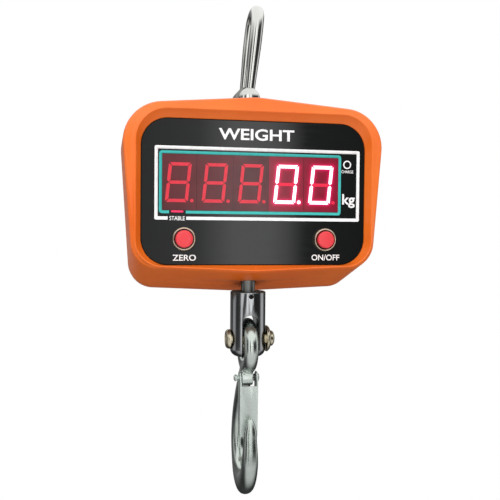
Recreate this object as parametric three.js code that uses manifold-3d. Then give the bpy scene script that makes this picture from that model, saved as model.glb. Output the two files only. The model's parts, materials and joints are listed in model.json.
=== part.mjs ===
// Hanging digital scale: a shackle carries a cast housing by its load cell, and an eye hook
// with a safety latch hangs from a clevis under the housing.
// Millimetres, +Z up, +X to the right of the display, -Y towards the reader of the display.
// The origin is the inner bearing point of the shackle's crown.

import * as THREE from 'three';
import { mergeVertices } from 'three/addons/utils/BufferGeometryUtils.js';
import Module from 'manifold-3d';

const wasm = await Module();
wasm.setup();

// ---------------------------------------------------------------- driving dimensions

const GAP = 0.3;                  // clearance between pieces that touch
const WALL = 3;                   // wall of the cast shells

// shackle
const BOW_REACH = 65;             // pin axis to the crown's inner bearing point
const BOW_WIRE = 10;              // crown diameter
const BOW_LEG = 7.6;              // leg diameter at the eyes
const BOW_SPAN = 25;              // distance between the two leg centres
const BOW_LEAN = 6;               // degrees that the shackle leans to the right
const BOW_EYE = 16;               // outside diameter of the two eyes
const BOW_EYE_THICK = 6.4;
const PIN_D = 8;
const PIN_HEAD_D = 15;
const PIN_HEAD_H = 5;
const NUT_H = 5;
const NUT_FLATS = 12.5;
const WASHER_D = 14;
const WASHER_H = 1.2;

// housing, in its own frame: Z = 0 at the panel's mid height, Y = 0 on the load axis
const EYE_HEIGHT = 73.25;         // shackle pin axis above the panel's centre
const EYE_OFFSET = -3;            // shackle pin beside the lower stud, so that the housing hangs level
const HOUSE_W = 199;              // widest point of the rim
const HOUSE_BOTTOM_W = HOUSE_W - 15;  // width at the lower corners
const HOUSE_TOP = 63.6;           // upper corners
const HOUSE_PEAK = 71.8;          // middle of the top edge
const HOUSE_WAIST = 40;           // height at which the tapered sides are HOUSE_W apart
const HOUSE_CORNER_R = 30;
const HOUSE_LOWER_R = 20;
const CREST_Y = -34;              // frontmost edge of the rim
const CREST_W = 180.5;
const CREST_TOP = 60.85;
const CREST_BOTTOM = -54.5;       // lower corners of the crest
const CREST_V = 4.15;             // drop from those corners to the middle
const CREST_R = 24;
const RIM_Y = -31.5;              // outer edge of the rim's front band
const UNDERSIDE_SLOPE = 0.32;     // drop per millimetre towards the back
const SHELL_REAR_Y = 28;
const COVER_REAR_Y = 46;
const GASKET_H = 1.2;

// panel, display and buttons
const PANEL_W = 171.6;
const PANEL_H = 108.3;
const PANEL_R = 20;
const PANEL_T = 3;
const PANEL_Y = -27.6;            // front face
const DIGIT_COUNT = 5;
const DIGIT_PITCH = 27.3;
const DIGIT_W = 26.9;
const DIGIT_H = 40;
const DIGIT_T = 10;
const DIGIT_X = -58.4;            // centre of the first digit
const DIGIT_Z = 7;
const BOARD_T = 1.6;
const LED_D = 5;
const CHARGE_LED = [71.8, 23.1];
const STABLE_LED = [-59.2, -18.6];
const BUTTON_X = 54.2;
const BUTTON_Z = -34.8;
const BUTTON_BARREL_D = 12;
const BUTTON_BARREL_WALL = 1.7;
const BUTTON_BARREL_END = -12;    // rear end of the barrel
const BUTTON_RING_BORE = BUTTON_BARREL_D + 2.8;
const BUTTON_RING_D = BUTTON_BARREL_D + 5.6;
const BUTTON_RING_H = 3.2;
const BUTTON_CAP_D = BUTTON_BARREL_D + 1;
const BUTTON_CAP_H = 3.5;
const BUTTON_NUT_FLATS = BUTTON_BARREL_D + 4;
const BUTTON_TRAVEL = 1.5;

// load cell and lower suspension
const CELL_W = 48;
const CELL_H = 64;
const CELL_T = 19;
const CELL_CUT = 5;               // height of the two cuts that make the S
const CELL_WEB = 10;              // half height of the bar between the cuts
const CELL_END = 11;              // metal left at the closed end of each cut
const LUG_W = 20;
const LUG_T = 16;
const LUG_HOLE_PLAY = 0.8;
const SEAL_MARGIN = 2.6;          // rubber around the lug where it leaves the housing
const SEAL_LIP = 1.5;
const STUD_D = 11;
const STUD_END = -88;             // lower end of the threaded stud
const CLEVIS_D = 28;
const CLEVIS_TOP = -76.2;
const CLEVIS_BOTTOM = -127.8;
const CLEVIS_SLOT = 13.2;
const CLEVIS_SLOT_TOP = -92.8;
const HOOK_PIN_Z = -114.15;
const HOOK_PIN_D = 10;
const HOOK_PIN_HEAD_R = 10.5;
const HOOK_PIN_HEAD_H = 7.4;
const HOOK_PIN_NUT_R = 7.8;
const HOOK_PIN_NUT_H = 3.4;
const LOCK_SCREW_D = 3.2;

// hook, in the frame of its pin
const HOOK_EYE_HOLE = 22;
const HOOK_EYE_WIRE = 11.2;
const LATCH_PIVOT = [-3, -30.5];  // y and z of the latch pin
const LATCH_PIN_D = 3.6;
const LATCH_W = 14.2;
const LATCH_SHEET = 1;
const LATCH_LENGTH = 46;
const LATCH_EAR_R = 5;
const LATCH_FACE = 6.2;           // from the pin's axis to the latch's front face
const LATCH_LUG_D = 12;
const LATCH_LUG_X = [-5.7, 3.3];  // the lug fills the latch, but for the spring's side
const SPRING_WIRE = 0.6;
const SPRING_TURNS = 2.25;

// small screws: length under the head, head diameter and head height
const SCREW_D = 2.8;
const COVER_SCREW = { length: 22, headD: 5.8, headH: 2.4 };
const BOARD_SCREW = { length: 7, headD: 5.4, headH: 2 };
const STRAP_SCREW = { length: 8, headD: 5.4, headH: 2 };
const BRACKET_SCREW = { length: 9, headD: 5.4, headH: 2 };
const COVER_SINK = 8;             // depth of the counterbores in the rear cover
const COVER_SINK_D = 7;
const POST_D = 6.5;

// ---------------------------------------------------------------- solids

const UP = new THREE.Vector3(0, 1, 0);
const AXES = {
  x: new THREE.Vector3(1, 0, 0),
  y: new THREE.Vector3(0, 1, 0),
  z: new THREE.Vector3(0, 0, 1),
};

function solid(geometry) {
  const bare = geometry.clone();
  bare.deleteAttribute('normal');
  bare.deleteAttribute('uv');
  const merged = mergeVertices(bare, 1e-4);
  return new wasm.Manifold(new wasm.Mesh({
    numProp: 3,
    vertProperties: new Float32Array(merged.attributes.position.array),
    triVerts: new Uint32Array(merged.index.array),
  }));
}

function geometryOf(shape) {
  const mesh = shape.getMesh();
  const geometry = new THREE.BufferGeometry();
  geometry.setAttribute('position', new THREE.BufferAttribute(mesh.vertProperties, 3));
  geometry.setIndex(new THREE.BufferAttribute(mesh.triVerts, 1));
  geometry.computeVertexNormals();
  return geometry;
}

function join(...shapes) {
  return shapes.reduce((sum, shape) => sum.add(shape));
}

function cut(shape, ...tools) {
  return tools.reduce((rest, tool) => rest.subtract(tool), shape);
}

// A box between two corners.
function block(low, high) {
  const size = high.map((value, i) => value - low[i]);
  const geometry = new THREE.BoxGeometry(...size);
  geometry.translate(...high.map((value, i) => (value + low[i]) / 2));
  return solid(geometry);
}

// A cylinder along an axis, from one coordinate to another, about the point `at`.
function rod(axis, diameter, from, to, at, sides = 18) {
  const geometry = new THREE.CylinderGeometry(diameter / 2, diameter / 2, to - from, sides);
  return solid(alongAxis(geometry, axis, (from + to) / 2, at));
}

function alongAxis(geometry, axis, middle, at) {
  geometry.applyQuaternion(new THREE.Quaternion().setFromUnitVectors(UP, AXES[axis]));
  const place = new THREE.Vector3(...at);
  place[axis] = middle;
  return geometry.translate(place.x, place.y, place.z);
}

// A turned shape: profile points are [radius, coordinate along the axis].
function turned(axis, profile, at, sides = 24) {
  const points = profile.map(([radius, along]) => new THREE.Vector2(radius, along));
  const geometry = new THREE.LatheGeometry(points, sides);
  return solid(outward(alongAxis(geometry, axis, 0, at)));
}

// Flips the faces of a closed geometry whose volume comes out negative.
function outward(geometry) {
  const bare = geometry.clone();
  bare.deleteAttribute('normal');
  bare.deleteAttribute('uv');
  const merged = mergeVertices(bare, 1e-4);
  const corner = [0, 1, 2].map(() => new THREE.Vector3());
  const index = merged.index.array;
  const kept = [];
  let volume = 0;
  for (let i = 0; i < index.length; i += 3) {
    const face = [index[i], index[i + 1], index[i + 2]];
    if (new Set(face).size < 3) continue;
    face.forEach((vertex, k) => corner[k].fromBufferAttribute(merged.attributes.position, vertex));
    volume += corner[0].dot(corner[1].clone().cross(corner[2]));
    kept.push(face);
  }
  merged.setIndex(kept.flatMap(([a, b, c]) => (volume > 0 ? [a, b, c] : [a, c, b])));
  return merged;
}

// Points of a convex polygon whose corners are rounded; each vertex is [x, z, radius].
function roundedOutline(vertices, segments = 4) {
  const points = [];
  vertices.forEach(([x, z, radius], i) => {
    const here = new THREE.Vector2(x, z);
    const before = new THREE.Vector2(...vertices.at(i - 1)).sub(here).normalize();
    const after = new THREE.Vector2(...vertices[(i + 1) % vertices.length]).sub(here).normalize();
    const half = Math.acos(THREE.MathUtils.clamp(before.dot(after), -1, 1)) / 2;
    const start = here.clone().addScaledVector(before, radius / Math.tan(half));
    const end = here.clone().addScaledVector(after, radius / Math.tan(half));
    const inside = before.clone().add(after).normalize();
    const centre = here.clone().addScaledVector(inside, radius / Math.sin(half));
    const from = start.clone().sub(centre).angle();
    let turn = end.clone().sub(centre).angle() - from;
    if (turn > Math.PI) turn -= 2 * Math.PI;
    if (turn < -Math.PI) turn += 2 * Math.PI;
    for (let k = 0; k <= segments; k += 1) {
      const angle = from + (turn * k) / segments;
      points.push([centre.x + radius * Math.cos(angle), centre.y + radius * Math.sin(angle)]);
    }
  });
  return points;
}

// A closed skin through rings of equal length; both ends are closed by a flat fan.
function skin(rings) {
  const count = rings[0].length;
  const positions = rings.flat(2);
  const index = [];
  for (let r = 0; r + 1 < rings.length; r += 1) {
    for (let k = 0; k < count; k += 1) {
      const a = r * count + k;
      const b = r * count + ((k + 1) % count);
      index.push(a, b, a + count, b, b + count, a + count);
    }
  }
  [[0, true], [rings.length - 1, false]].forEach(([r, first]) => {
    const middle = [0, 1, 2].map((i) => rings[r].reduce((sum, p) => sum + p[i], 0) / count);
    const hub = positions.length / 3;
    positions.push(...middle);
    for (let k = 0; k < count; k += 1) {
      const a = r * count + k;
      const b = r * count + ((k + 1) % count);
      index.push(...(first ? [hub, b, a] : [hub, a, b]));
    }
  });
  const geometry = new THREE.BufferGeometry();
  geometry.setAttribute('position', new THREE.Float32BufferAttribute(positions, 3));
  geometry.setIndex(index);
  return solid(outward(geometry));
}

// Outlines in XZ placed at given depths: each section is [y, outline].
function loft(sections) {
  return skin(sections.map(([y, outline]) => outline.map(([x, z]) => [x, y, z])));
}

// A bent bar in the YZ plane. depth(t) is its half size in the plane, width(t) across it.
function bar(curve, depth, width, steps, sides, squareness = 1) {
  const rings = [];
  for (let s = 0; s <= steps; s += 1) {
    const t = s / steps;
    const centre = curve.getPointAt(t);
    const tangent = curve.getTangentAt(t);
    const normal = new THREE.Vector3(0, -tangent.z, tangent.y);
    const ring = [];
    for (let k = 0; k < sides; k += 1) {
      const angle = (2 * Math.PI * k) / sides;
      const c = Math.cos(angle);
      const n = Math.sin(angle);
      const along = Math.sign(c) * Math.abs(c) ** squareness * depth(t);
      const across = Math.sign(n) * Math.abs(n) ** squareness * width(t);
      ring.push([across, centre.y + normal.y * along, centre.z + normal.z * along]);
    }
    rings.push(ring);
  }
  return skin(rings);
}

function yzCurve(points) {
  return new THREE.CatmullRomCurve3(points.map(([y, z]) => new THREE.Vector3(0, y, z)), false,
    'centripetal');
}

// Straight-line blend through [t, value] pairs, eased between them.
function eased(stops) {
  return (t) => {
    const next = Math.max(1, stops.findIndex(([at]) => at >= t));
    const [t0, v0] = stops[next - 1];
    const [t1, v1] = stops[next];
    return v0 + (v1 - v0) * THREE.MathUtils.smoothstep(t, t0, t1);
  };
}

// A wire or cable along a list of points.
function wire(points, diameter, steps, sides = 8) {
  const curve = new THREE.CatmullRomCurve3(points.map((p) => new THREE.Vector3(...p)));
  const section = new THREE.Shape();
  for (let k = 0; k <= sides; k += 1) {
    const angle = (2 * Math.PI * k) / sides;
    const x = (Math.cos(angle) * diameter) / 2;
    const y = (Math.sin(angle) * diameter) / 2;
    if (k === 0) section.moveTo(x, y);
    else if (k < sides) section.lineTo(x, y);
  }
  section.closePath();
  const geometry = new THREE.ExtrudeGeometry(section, { steps, extrudePath: curve });
  return solid(outward(geometry));
}

// ---------------------------------------------------------------- materials and groups

const FINISHES = {
  orange: { color: 0xe8692a, roughness: 0.4, metalness: 0 },
  black: { color: 0x15181a, roughness: 0.15, metalness: 0 },
  steel: { color: 0x9aa09c, roughness: 0.35, metalness: 1 },
  chrome: { color: 0xc8ccd0, roughness: 0.12, metalness: 1 },
  zinc: { color: 0xb9c4bf, roughness: 0.4, metalness: 1 },
  brass: { color: 0xc9b47a, roughness: 0.3, metalness: 1 },
  red: { color: 0xd8343c, roughness: 0.35, metalness: 0 },
  cream: { color: 0xd9c7ae, roughness: 0.3, metalness: 1 },
  digit: { color: 0x5a1a22, roughness: 0.4, metalness: 0 },
  board: { color: 0x1c5a34, roughness: 0.5, metalness: 0 },
  rubber: { color: 0x1c1c1c, roughness: 0.8, metalness: 0 },
  clear: { color: 0xd8d8d8, roughness: 0.2, metalness: 0 },
  battery: { color: 0x2a4a8a, roughness: 0.5, metalness: 0 },
  dark: { color: 0x303234, roughness: 0.5, metalness: 0 },
};

const assembly = new THREE.Group();
const shackle = new THREE.Group();
const housing = new THREE.Group();
const hookGroup = new THREE.Group();
const lean = THREE.MathUtils.degToRad(BOW_LEAN);
const pinX = -BOW_REACH * Math.sin(lean);
const pinZ = -BOW_REACH * Math.cos(lean);

shackle.rotation.y = lean;
housing.position.set(pinX - EYE_OFFSET, 0, pinZ - EYE_HEIGHT);
hookGroup.position.set(0, 0, HOOK_PIN_Z);
assembly.add(shackle, housing);
housing.add(hookGroup);

function add(group, name, finish, shape) {
  const mesh = new THREE.Mesh(geometryOf(shape), new THREE.MeshStandardMaterial(FINISHES[finish]));
  mesh.name = name;
  group.add(mesh);
}

// ---------------------------------------------------------------- fasteners

// Pan-head screw along Y: its head's underside is at `seat`, and its tip points to `side` (+1 or -1).
function screw(side, x, z, seat, { length, headD, headH }) {
  const tip = seat + side * length;
  const back = seat - side * headH;
  const slot = headH * 0.4;
  const shape = turned('y', [
    [0, tip],
    [SCREW_D / 2, tip],
    [SCREW_D / 2, seat],
    [headD / 2, seat],
    [headD / 2, seat - side * headH * 0.5],
    [headD * 0.3, back],
    [0, back],
  ], [x, 0, z], 10);
  const [near, far] = [back + side * slot, back - side].sort((a, b) => a - b);
  return cut(shape, block([x - headD * 0.08, near, z - headD], [x + headD * 0.08, far, z + headD]));
}

function hexNut(axis, flats, bore, from, to, at) {
  const corner = flats / Math.cos(Math.PI / 6);
  return cut(rod(axis, corner, from, to, at, 6), rod(axis, bore, from - 1, to + 1, at));
}

function ring(axis, outer, bore, from, to, at, sides = 18) {
  return cut(rod(axis, outer, from, to, at, sides), rod(axis, bore, from - 1, to + 1, at, sides));
}

// ---------------------------------------------------------------- shackle

function addShackle() {
  const reach = -BOW_REACH;
  const half = BOW_SPAN / 2;
  const crown = BOW_WIRE / 2;
  const knee = crown - half;
  const curve = yzCurve([
    [-half, reach + BOW_EYE * 0.25],
    [-half, reach * 0.75],
    [-half, reach * 0.5],
    [-half, knee - half * 0.4],
    [-half * 0.92, knee + half * 0.39],
    [-half * 0.7, knee + half * 0.72],
    [-half * 0.36, knee + half * 0.94],
    [0, crown],
    [half * 0.36, knee + half * 0.94],
    [half * 0.7, knee + half * 0.72],
    [half * 0.92, knee + half * 0.39],
    [half, knee - half * 0.4],
    [half, reach * 0.5],
    [half, reach * 0.75],
    [half, reach + BOW_EYE * 0.25],
  ]);
  const radius = eased([[0, BOW_LEG / 2], [0.3, BOW_WIRE / 2], [0.7, BOW_WIRE / 2], [1, BOW_LEG / 2]]);
  const wireBow = bar(curve, radius, radius, 30, 12);
  const eyes = [-1, 1].map((side) => rod('y', BOW_EYE, side * half - BOW_EYE_THICK / 2,
    side * half + BOW_EYE_THICK / 2, [0, 0, reach]));
  const hole = rod('y', PIN_D + 2 * GAP, -BOW_SPAN, BOW_SPAN, [0, 0, reach]);
  const face = half + BOW_EYE_THICK / 2;
  const spotFaces = [[-face - 5, -face], [face, face + 5]].map(([from, to]) => rod('y',
    PIN_HEAD_D + 2 * GAP, from, to, [0, 0, reach]));
  add(shackle, 'shackle_bow', 'chrome', cut(join(wireBow, ...eyes), hole, ...spotFaces));

  const outer = face + GAP;
  const at = [0, 0, reach];
  const washerFrom = outer;
  const nutFrom = washerFrom + WASHER_H + GAP;
  const pinEnd = nutFrom + NUT_H + 1;
  const rim = PIN_HEAD_H * 0.3;
  add(shackle, 'shackle_pin', 'chrome', turned('y', [
    [0, pinEnd],
    [PIN_D / 2 - 0.6, pinEnd],
    [PIN_D / 2, pinEnd - 0.6],
    [PIN_D / 2, -outer],
    [PIN_HEAD_D / 2, -outer],
    [PIN_HEAD_D / 2, -outer - rim],
    [PIN_HEAD_D * 0.42, -outer - PIN_HEAD_H * 0.62],
    [PIN_HEAD_D * 0.26, -outer - PIN_HEAD_H * 0.9],
    [0, -outer - PIN_HEAD_H],
  ], at));
  const bore = PIN_D + 2 * GAP;
  add(shackle, 'shackle_washer', 'zinc', ring('y', WASHER_D, bore, washerFrom, washerFrom + WASHER_H, at));
  add(shackle, 'shackle_nut', 'zinc', hexNut('y', NUT_FLATS, bore, nutFrom, nutFrom + NUT_H, at));
}

// ---------------------------------------------------------------- housing outlines

function dropAt(y) {
  return UNDERSIDE_SLOPE * (y - CREST_Y);
}

// Outline of the cast housing at depth y, moved in by `inset`.
function houseOutline(y, inset) {
  const low = CREST_BOTTOM - dropAt(y) + inset;
  const taper = (HOUSE_W - HOUSE_BOTTOM_W) / 2 / (HOUSE_WAIST - low);
  const side = (z) => HOUSE_W / 2 - inset + (z - HOUSE_WAIST) * taper;
  const top = HOUSE_TOP - inset;
  return mirrored([
    [0, HOUSE_PEAK - inset, 60],
    [side(top), top, HOUSE_CORNER_R - inset],
    [side(0), 0, 0],
    [side(low), low, HOUSE_LOWER_R - inset],
    [0, low - CREST_V, 40],
  ]);
}

function crestOutline(inset) {
  const half = CREST_W / 2 - inset;
  const low = CREST_BOTTOM + inset;
  return mirrored([
    [0, CREST_TOP - inset, 60],
    [half, CREST_TOP - inset - 0.01, CREST_R],
    [half, 0, 0],
    [half, low, HOUSE_LOWER_R],
    [0, low - CREST_V, 40],
  ]);
}

function panelOutline(inset) {
  const half = PANEL_W / 2 - inset;
  const tall = PANEL_H / 2 - inset;
  return mirrored([
    [0, tall + 0.01, 60],
    [half, tall, PANEL_R],
    [half, 0, 0],
    [half, -tall, PANEL_R],
    [0, -tall - 0.01, 40],
  ]);
}

// Completes a half outline, given from the top middle down the right side to the bottom middle.
function mirrored(half) {
  const left = half.slice(1, -1).map(([x, z, radius]) => [-x, z, radius]);
  return roundedOutline([...half, ...left.reverse()]);
}

// ---------------------------------------------------------------- housing shells

// Half width of the housing's tapered side at the rear, at a height below the waist.
function sideAt(z) {
  const fall = (HOUSE_WAIST - z) / (HOUSE_WAIST - (CREST_BOTTOM - dropAt(SHELL_REAR_Y)));
  return HOUSE_W / 2 - (fall * (HOUSE_W - HOUSE_BOTTOM_W)) / 2;
}

// Height of the housing's underside at the rear, at a distance from the middle.
function bottomAt(x) {
  const low = CREST_BOTTOM - dropAt(SHELL_REAR_Y);
  return low - CREST_V * (1 - (2 * x) / HOUSE_BOTTOM_W);
}

const WELL_X = 18;                // half width of the well around the shackle's pin
const WELL_Y = 25;
const WELL_FLOOR = 56;
const COVER_FRONT_Y = SHELL_REAR_Y + GASKET_H + 2 * GAP;
const LEDGE_Y = PANEL_Y + PANEL_T + GAP;
const CAVITY_Y = LEDGE_Y + WALL;
const BOARD_Y = LEDGE_Y + DIGIT_T + 2 * GAP;
const BOARD_X = 82;
const BOARD_LOW = -24;
const BOARD_HIGH = 33;
const BOARD_SCREWS = [[-78, 29.5], [78, -20]];
const BRACKET_X = 44;
const BRACKET_LOW = -40;
const BRACKET_HIGH = 48;
const BRACKET_Y = CELL_T / 2 + GAP;
const BRACKET_T = 2;
const BRACKET_SCREWS = [[-38, 43], [34, -35]];
const SCREW_INSET = 6;            // from a cover screw's axis to the housing's outer face
const COVER_SCREWS = [-1, 1].flatMap((side) => [
  [side * (sideAt(30) - SCREW_INSET), 30],
  [side * (sideAt(-34) - SCREW_INSET), -34],
  [side * 34, bottomAt(34) + SCREW_INSET],
]);
const MAIN_BOARD_Y = 30;
const MAIN_BOARD = { left: 6, right: 76, low: -44, high: 34 };
const MAIN_SCREWS = [[10, 30], [72, -40]];
const JACK_Y = 36;
const JACK_Z = -10;
const JACK_D = 8;

function addFrontShell() {
  const outer = loft([
    [CREST_Y, crestOutline(0)],
    [RIM_Y, houseOutline(RIM_Y, 1)],
    [RIM_Y + 1, houseOutline(RIM_Y + 1, 0.3)],
    [RIM_Y + 3, houseOutline(RIM_Y + 3, 0)],
    [SHELL_REAR_Y, houseOutline(SHELL_REAR_Y, 0)],
  ]);
  const cavity = loft([
    [CAVITY_Y, houseOutline(CAVITY_Y, WALL)],
    [SHELL_REAR_Y + 1, houseOutline(SHELL_REAR_Y + 1, WALL)],
  ]);
  const pocket = loft([
    [CREST_Y - 1, crestOutline(0)],
    [CREST_Y, crestOutline(0.05)],
    [PANEL_Y, panelOutline(-GAP)],
    [LEDGE_Y, panelOutline(-GAP)],
  ]);
  const wellOuter = block([-WELL_X - WALL, -WELL_Y - WALL, WELL_FLOOR - WALL],
    [WELL_X + WALL, SHELL_REAR_Y, HOUSE_PEAK + 5]).intersect(outer);
  const well = block([-WELL_X, -WELL_Y, WELL_FLOOR], [WELL_X, WELL_Y, HOUSE_PEAK + 10]);
  const grommet = block(
    [EYE_OFFSET - LUG_W / 2 - SEAL_MARGIN, -LUG_T / 2 - SEAL_MARGIN, WELL_FLOOR - WALL - 1],
    [EYE_OFFSET + LUG_W / 2 + SEAL_MARGIN, LUG_T / 2 + SEAL_MARGIN, WELL_FLOOR + 1],
  );
  const neckHole = rod('z', STUD_D + 1.6, -100, -50, [0, 0, 0], 28);
  const windowLeft = DIGIT_X - DIGIT_PITCH / 2 - GAP;
  const displayWindow = block([windowLeft, LEDGE_Y - 1, DIGIT_Z - DIGIT_H / 2 - GAP],
    [windowLeft + DIGIT_COUNT * DIGIT_PITCH + 2 * GAP, CAVITY_Y + 1, DIGIT_Z + DIGIT_H / 2 + GAP]);
  const ledHoles = [CHARGE_LED, STABLE_LED].map(([x, z]) => rod('y', LED_D + 2 * GAP, LEDGE_Y - 1,
    CAVITY_Y + 1, [x, 0, z], 16));
  const buttonHoles = [-BUTTON_X, BUTTON_X].map((x) => rod('y', BUTTON_BARREL_D + 1, LEDGE_Y - 1,
    CAVITY_Y + 1, [x, 0, BUTTON_Z]));

  const boardPosts = BOARD_SCREWS.map(([x, z]) => post(x, z, POST_D, CAVITY_Y - 1, BOARD_Y - GAP));
  const boardPilots = BOARD_SCREWS.map(([x, z]) => pilot(x, z, CAVITY_Y + 1, BOARD_Y));
  const bracketPosts = BRACKET_SCREWS.map(([x, z]) => post(x, z, 8, CAVITY_Y - 1, BRACKET_Y - GAP));
  const bracketPilots = BRACKET_SCREWS.map(([x, z]) => pilot(x, z, BRACKET_Y - 9, BRACKET_Y));
  const coverPosts = COVER_SCREWS.map(([x, z]) => post(x, z, 9, 8, SHELL_REAR_Y).intersect(outer));
  const coverPilots = COVER_SCREWS.map(([x, z]) => pilot(x, z, 14, SHELL_REAR_Y + 1));
  add(housing, 'front_shell', 'orange', cut(
    join(cut(outer, cavity), wellOuter, ...boardPosts, ...bracketPosts, ...coverPosts),
    pocket, well, grommet, neckHole, displayWindow,
    ...ledHoles, ...buttonHoles, ...boardPilots, ...bracketPilots, ...coverPilots,
  ));
}

function post(x, z, diameter, from, to) {
  return rod('y', diameter, from, to, [x, 0, z], 12);
}

// Pilot hole for the small screws, all of one shank diameter.
function pilot(x, z, from, to) {
  return rod('y', SCREW_D + 2 * GAP, from, to, [x, 0, z], 8);
}

function addGasket() {
  const from = SHELL_REAR_Y + GAP;
  const to = from + GASKET_H;
  const outer = loft([[from, houseOutline(SHELL_REAR_Y, 0.4)], [to, houseOutline(SHELL_REAR_Y, 0.4)]]);
  const inner = loft([
    [from - 1, houseOutline(SHELL_REAR_Y, WALL - 0.4)],
    [to + 1, houseOutline(SHELL_REAR_Y, WALL - 0.4)],
  ]);
  add(housing, 'shell_gasket', 'rubber', cut(outer, inner));
}

function addRearCover() {
  const flat = SHELL_REAR_Y;
  const outer = loft([
    [COVER_FRONT_Y, houseOutline(flat, 0)],
    [COVER_REAR_Y - 4, houseOutline(flat, 0)],
    [COVER_REAR_Y - 1.6, houseOutline(flat, 1)],
    [COVER_REAR_Y - 0.4, houseOutline(flat, 2.6)],
    [COVER_REAR_Y, houseOutline(flat, 4)],
  ]);
  const cavity = loft([
    [COVER_FRONT_Y - 1, houseOutline(flat, WALL)],
    [COVER_REAR_Y - WALL, houseOutline(flat, WALL + 1)],
  ]);
  const floor = COVER_REAR_Y - WALL / 2;
  const posts = COVER_SCREWS.map(([x, z]) => post(x, z, 9.6, COVER_FRONT_Y, floor).intersect(outer));
  const headSinks = COVER_SCREWS.map(([x, z]) => post(x, z, COVER_SINK_D, COVER_REAR_Y - COVER_SINK,
    COVER_REAR_Y + 1));
  const shankHoles = COVER_SCREWS.map(([x, z]) => pilot(x, z, COVER_FRONT_Y - 1, COVER_REAR_Y));
  const boardPosts = MAIN_SCREWS.map(([x, z]) => post(x, z, POST_D, MAIN_BOARD_Y + BOARD_T + GAP, floor));
  const boardPilots = MAIN_SCREWS.map(([x, z]) => pilot(x, z, MAIN_BOARD_Y, MAIN_BOARD_Y + 9));
  const strapPosts = STRAP_SCREWS.map(([x, z]) => post(x, z, 7, STRAP_FOOT_Y + STRAP_T + GAP, floor));
  const strapPilots = STRAP_SCREWS.map(([x, z]) => pilot(x, z, STRAP_FOOT_Y, STRAP_FOOT_Y + 10));
  const jackHole = rod('x', JACK_D + 2 * GAP, 80, HOUSE_W, [0, JACK_Y, JACK_Z]);
  add(housing, 'rear_cover', 'orange', cut(
    join(cut(outer, cavity), ...posts, ...boardPosts, ...strapPosts),
    jackHole, ...headSinks, ...shankHoles, ...boardPilots, ...strapPilots,
  ));
  COVER_SCREWS.forEach(([x, z], i) => {
    const seat = COVER_REAR_Y - COVER_SINK + GAP;
    add(housing, `cover_screw_${i + 1}`, 'zinc', screw(-1, x, z, seat, COVER_SCREW));
  });
}

// ---------------------------------------------------------------- battery and electronics

const BATTERY_FRONT = BRACKET_Y + BRACKET_T + 3.2;
const BATTERY = { low: [-80, BATTERY_FRONT, -50], high: [-12, 41, -6] };
const STRAP_T = 1.2;
const STRAP_W = 16;
const STRAP_FOOT_Y = 32;
const STRAP_X = (BATTERY.low[0] + BATTERY.high[0]) / 2;
const STRAP_SCREWS = [
  [STRAP_X, BATTERY.high[2] + 7],
  [STRAP_X, BATTERY.low[2] - 7],
];

function addElectronics() {
  add(housing, 'front_panel', 'black', panelFace());

  for (let i = 0; i < DIGIT_COUNT; i += 1) {
    const x = DIGIT_X + i * DIGIT_PITCH;
    add(housing, `digit_module_${i + 1}`, 'digit', block(
      [x - DIGIT_W / 2, LEDGE_Y, DIGIT_Z - DIGIT_H / 2],
      [x + DIGIT_W / 2, LEDGE_Y + DIGIT_T, DIGIT_Z + DIGIT_H / 2],
    ));
  }
  const screwHoles = BOARD_SCREWS.map(([x, z]) => pilot(x, z, BOARD_Y - 1, BOARD_Y + 3));
  add(housing, 'display_board', 'board', cut(
    block([-BOARD_X, BOARD_Y, BOARD_LOW], [BOARD_X, BOARD_Y + BOARD_T, BOARD_HIGH]), ...screwHoles));
  BOARD_SCREWS.forEach(([x, z], i) => add(housing, `display_screw_${i + 1}`, 'zinc',
    screw(-1, x, z, BOARD_Y + BOARD_T + GAP, BOARD_SCREW)));
  add(housing, 'charge_led', 'clear', led(CHARGE_LED));
  add(housing, 'stable_led', 'red', led(STABLE_LED));

  const { left, right, low, high } = MAIN_BOARD;
  const mainHoles = MAIN_SCREWS.map(([x, z]) => pilot(x, z, MAIN_BOARD_Y - 1, MAIN_BOARD_Y + 3));
  const parts = [
    block([left + 24, MAIN_BOARD_Y - 4, -22], [left + 44, MAIN_BOARD_Y + 0.5, -2]),
    block([left + 46, MAIN_BOARD_Y - 7, -34], [left + 62, MAIN_BOARD_Y + 0.5, -24]),
    rod('y', 8, MAIN_BOARD_Y - 11, MAIN_BOARD_Y + 0.5, [left + 12, 0, -26], 16),
    rod('y', 8, MAIN_BOARD_Y - 11, MAIN_BOARD_Y + 0.5, [left + 22, 0, -34], 16),
  ];
  add(housing, 'main_board', 'board', cut(
    join(block([left, MAIN_BOARD_Y, low], [right, MAIN_BOARD_Y + BOARD_T, high]), ...parts),
    ...mainHoles));
  MAIN_SCREWS.forEach(([x, z], i) => add(housing, `board_screw_${i + 1}`, 'zinc',
    screw(1, x, z, MAIN_BOARD_Y - GAP, BOARD_SCREW)));

  add(housing, 'battery', 'battery', block(BATTERY.low, BATTERY.high));
  addBatteryStrap();
  addJack();
  addCables();
}

function panelFace() {
  const plate = loft([[PANEL_Y, panelOutline(0)], [PANEL_Y + PANEL_T, panelOutline(0)]]);
  const holes = [-BUTTON_X, BUTTON_X].map((x) => rod('y', BUTTON_BARREL_D + 2 * GAP, PANEL_Y - 1,
    PANEL_Y + PANEL_T + 1, [x, 0, BUTTON_Z]));
  return cut(plate, ...holes);
}

function led([x, z]) {
  const r = LED_D / 2;
  return turned('y', [
    [0, BOARD_Y - GAP],
    [r, BOARD_Y - GAP],
    [r, LEDGE_Y + r],
    [r * 0.87, LEDGE_Y + r * 0.5],
    [r * 0.5, LEDGE_Y + r * 0.13],
    [0, LEDGE_Y],
  ], [x, 0, z], 16);
}

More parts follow.
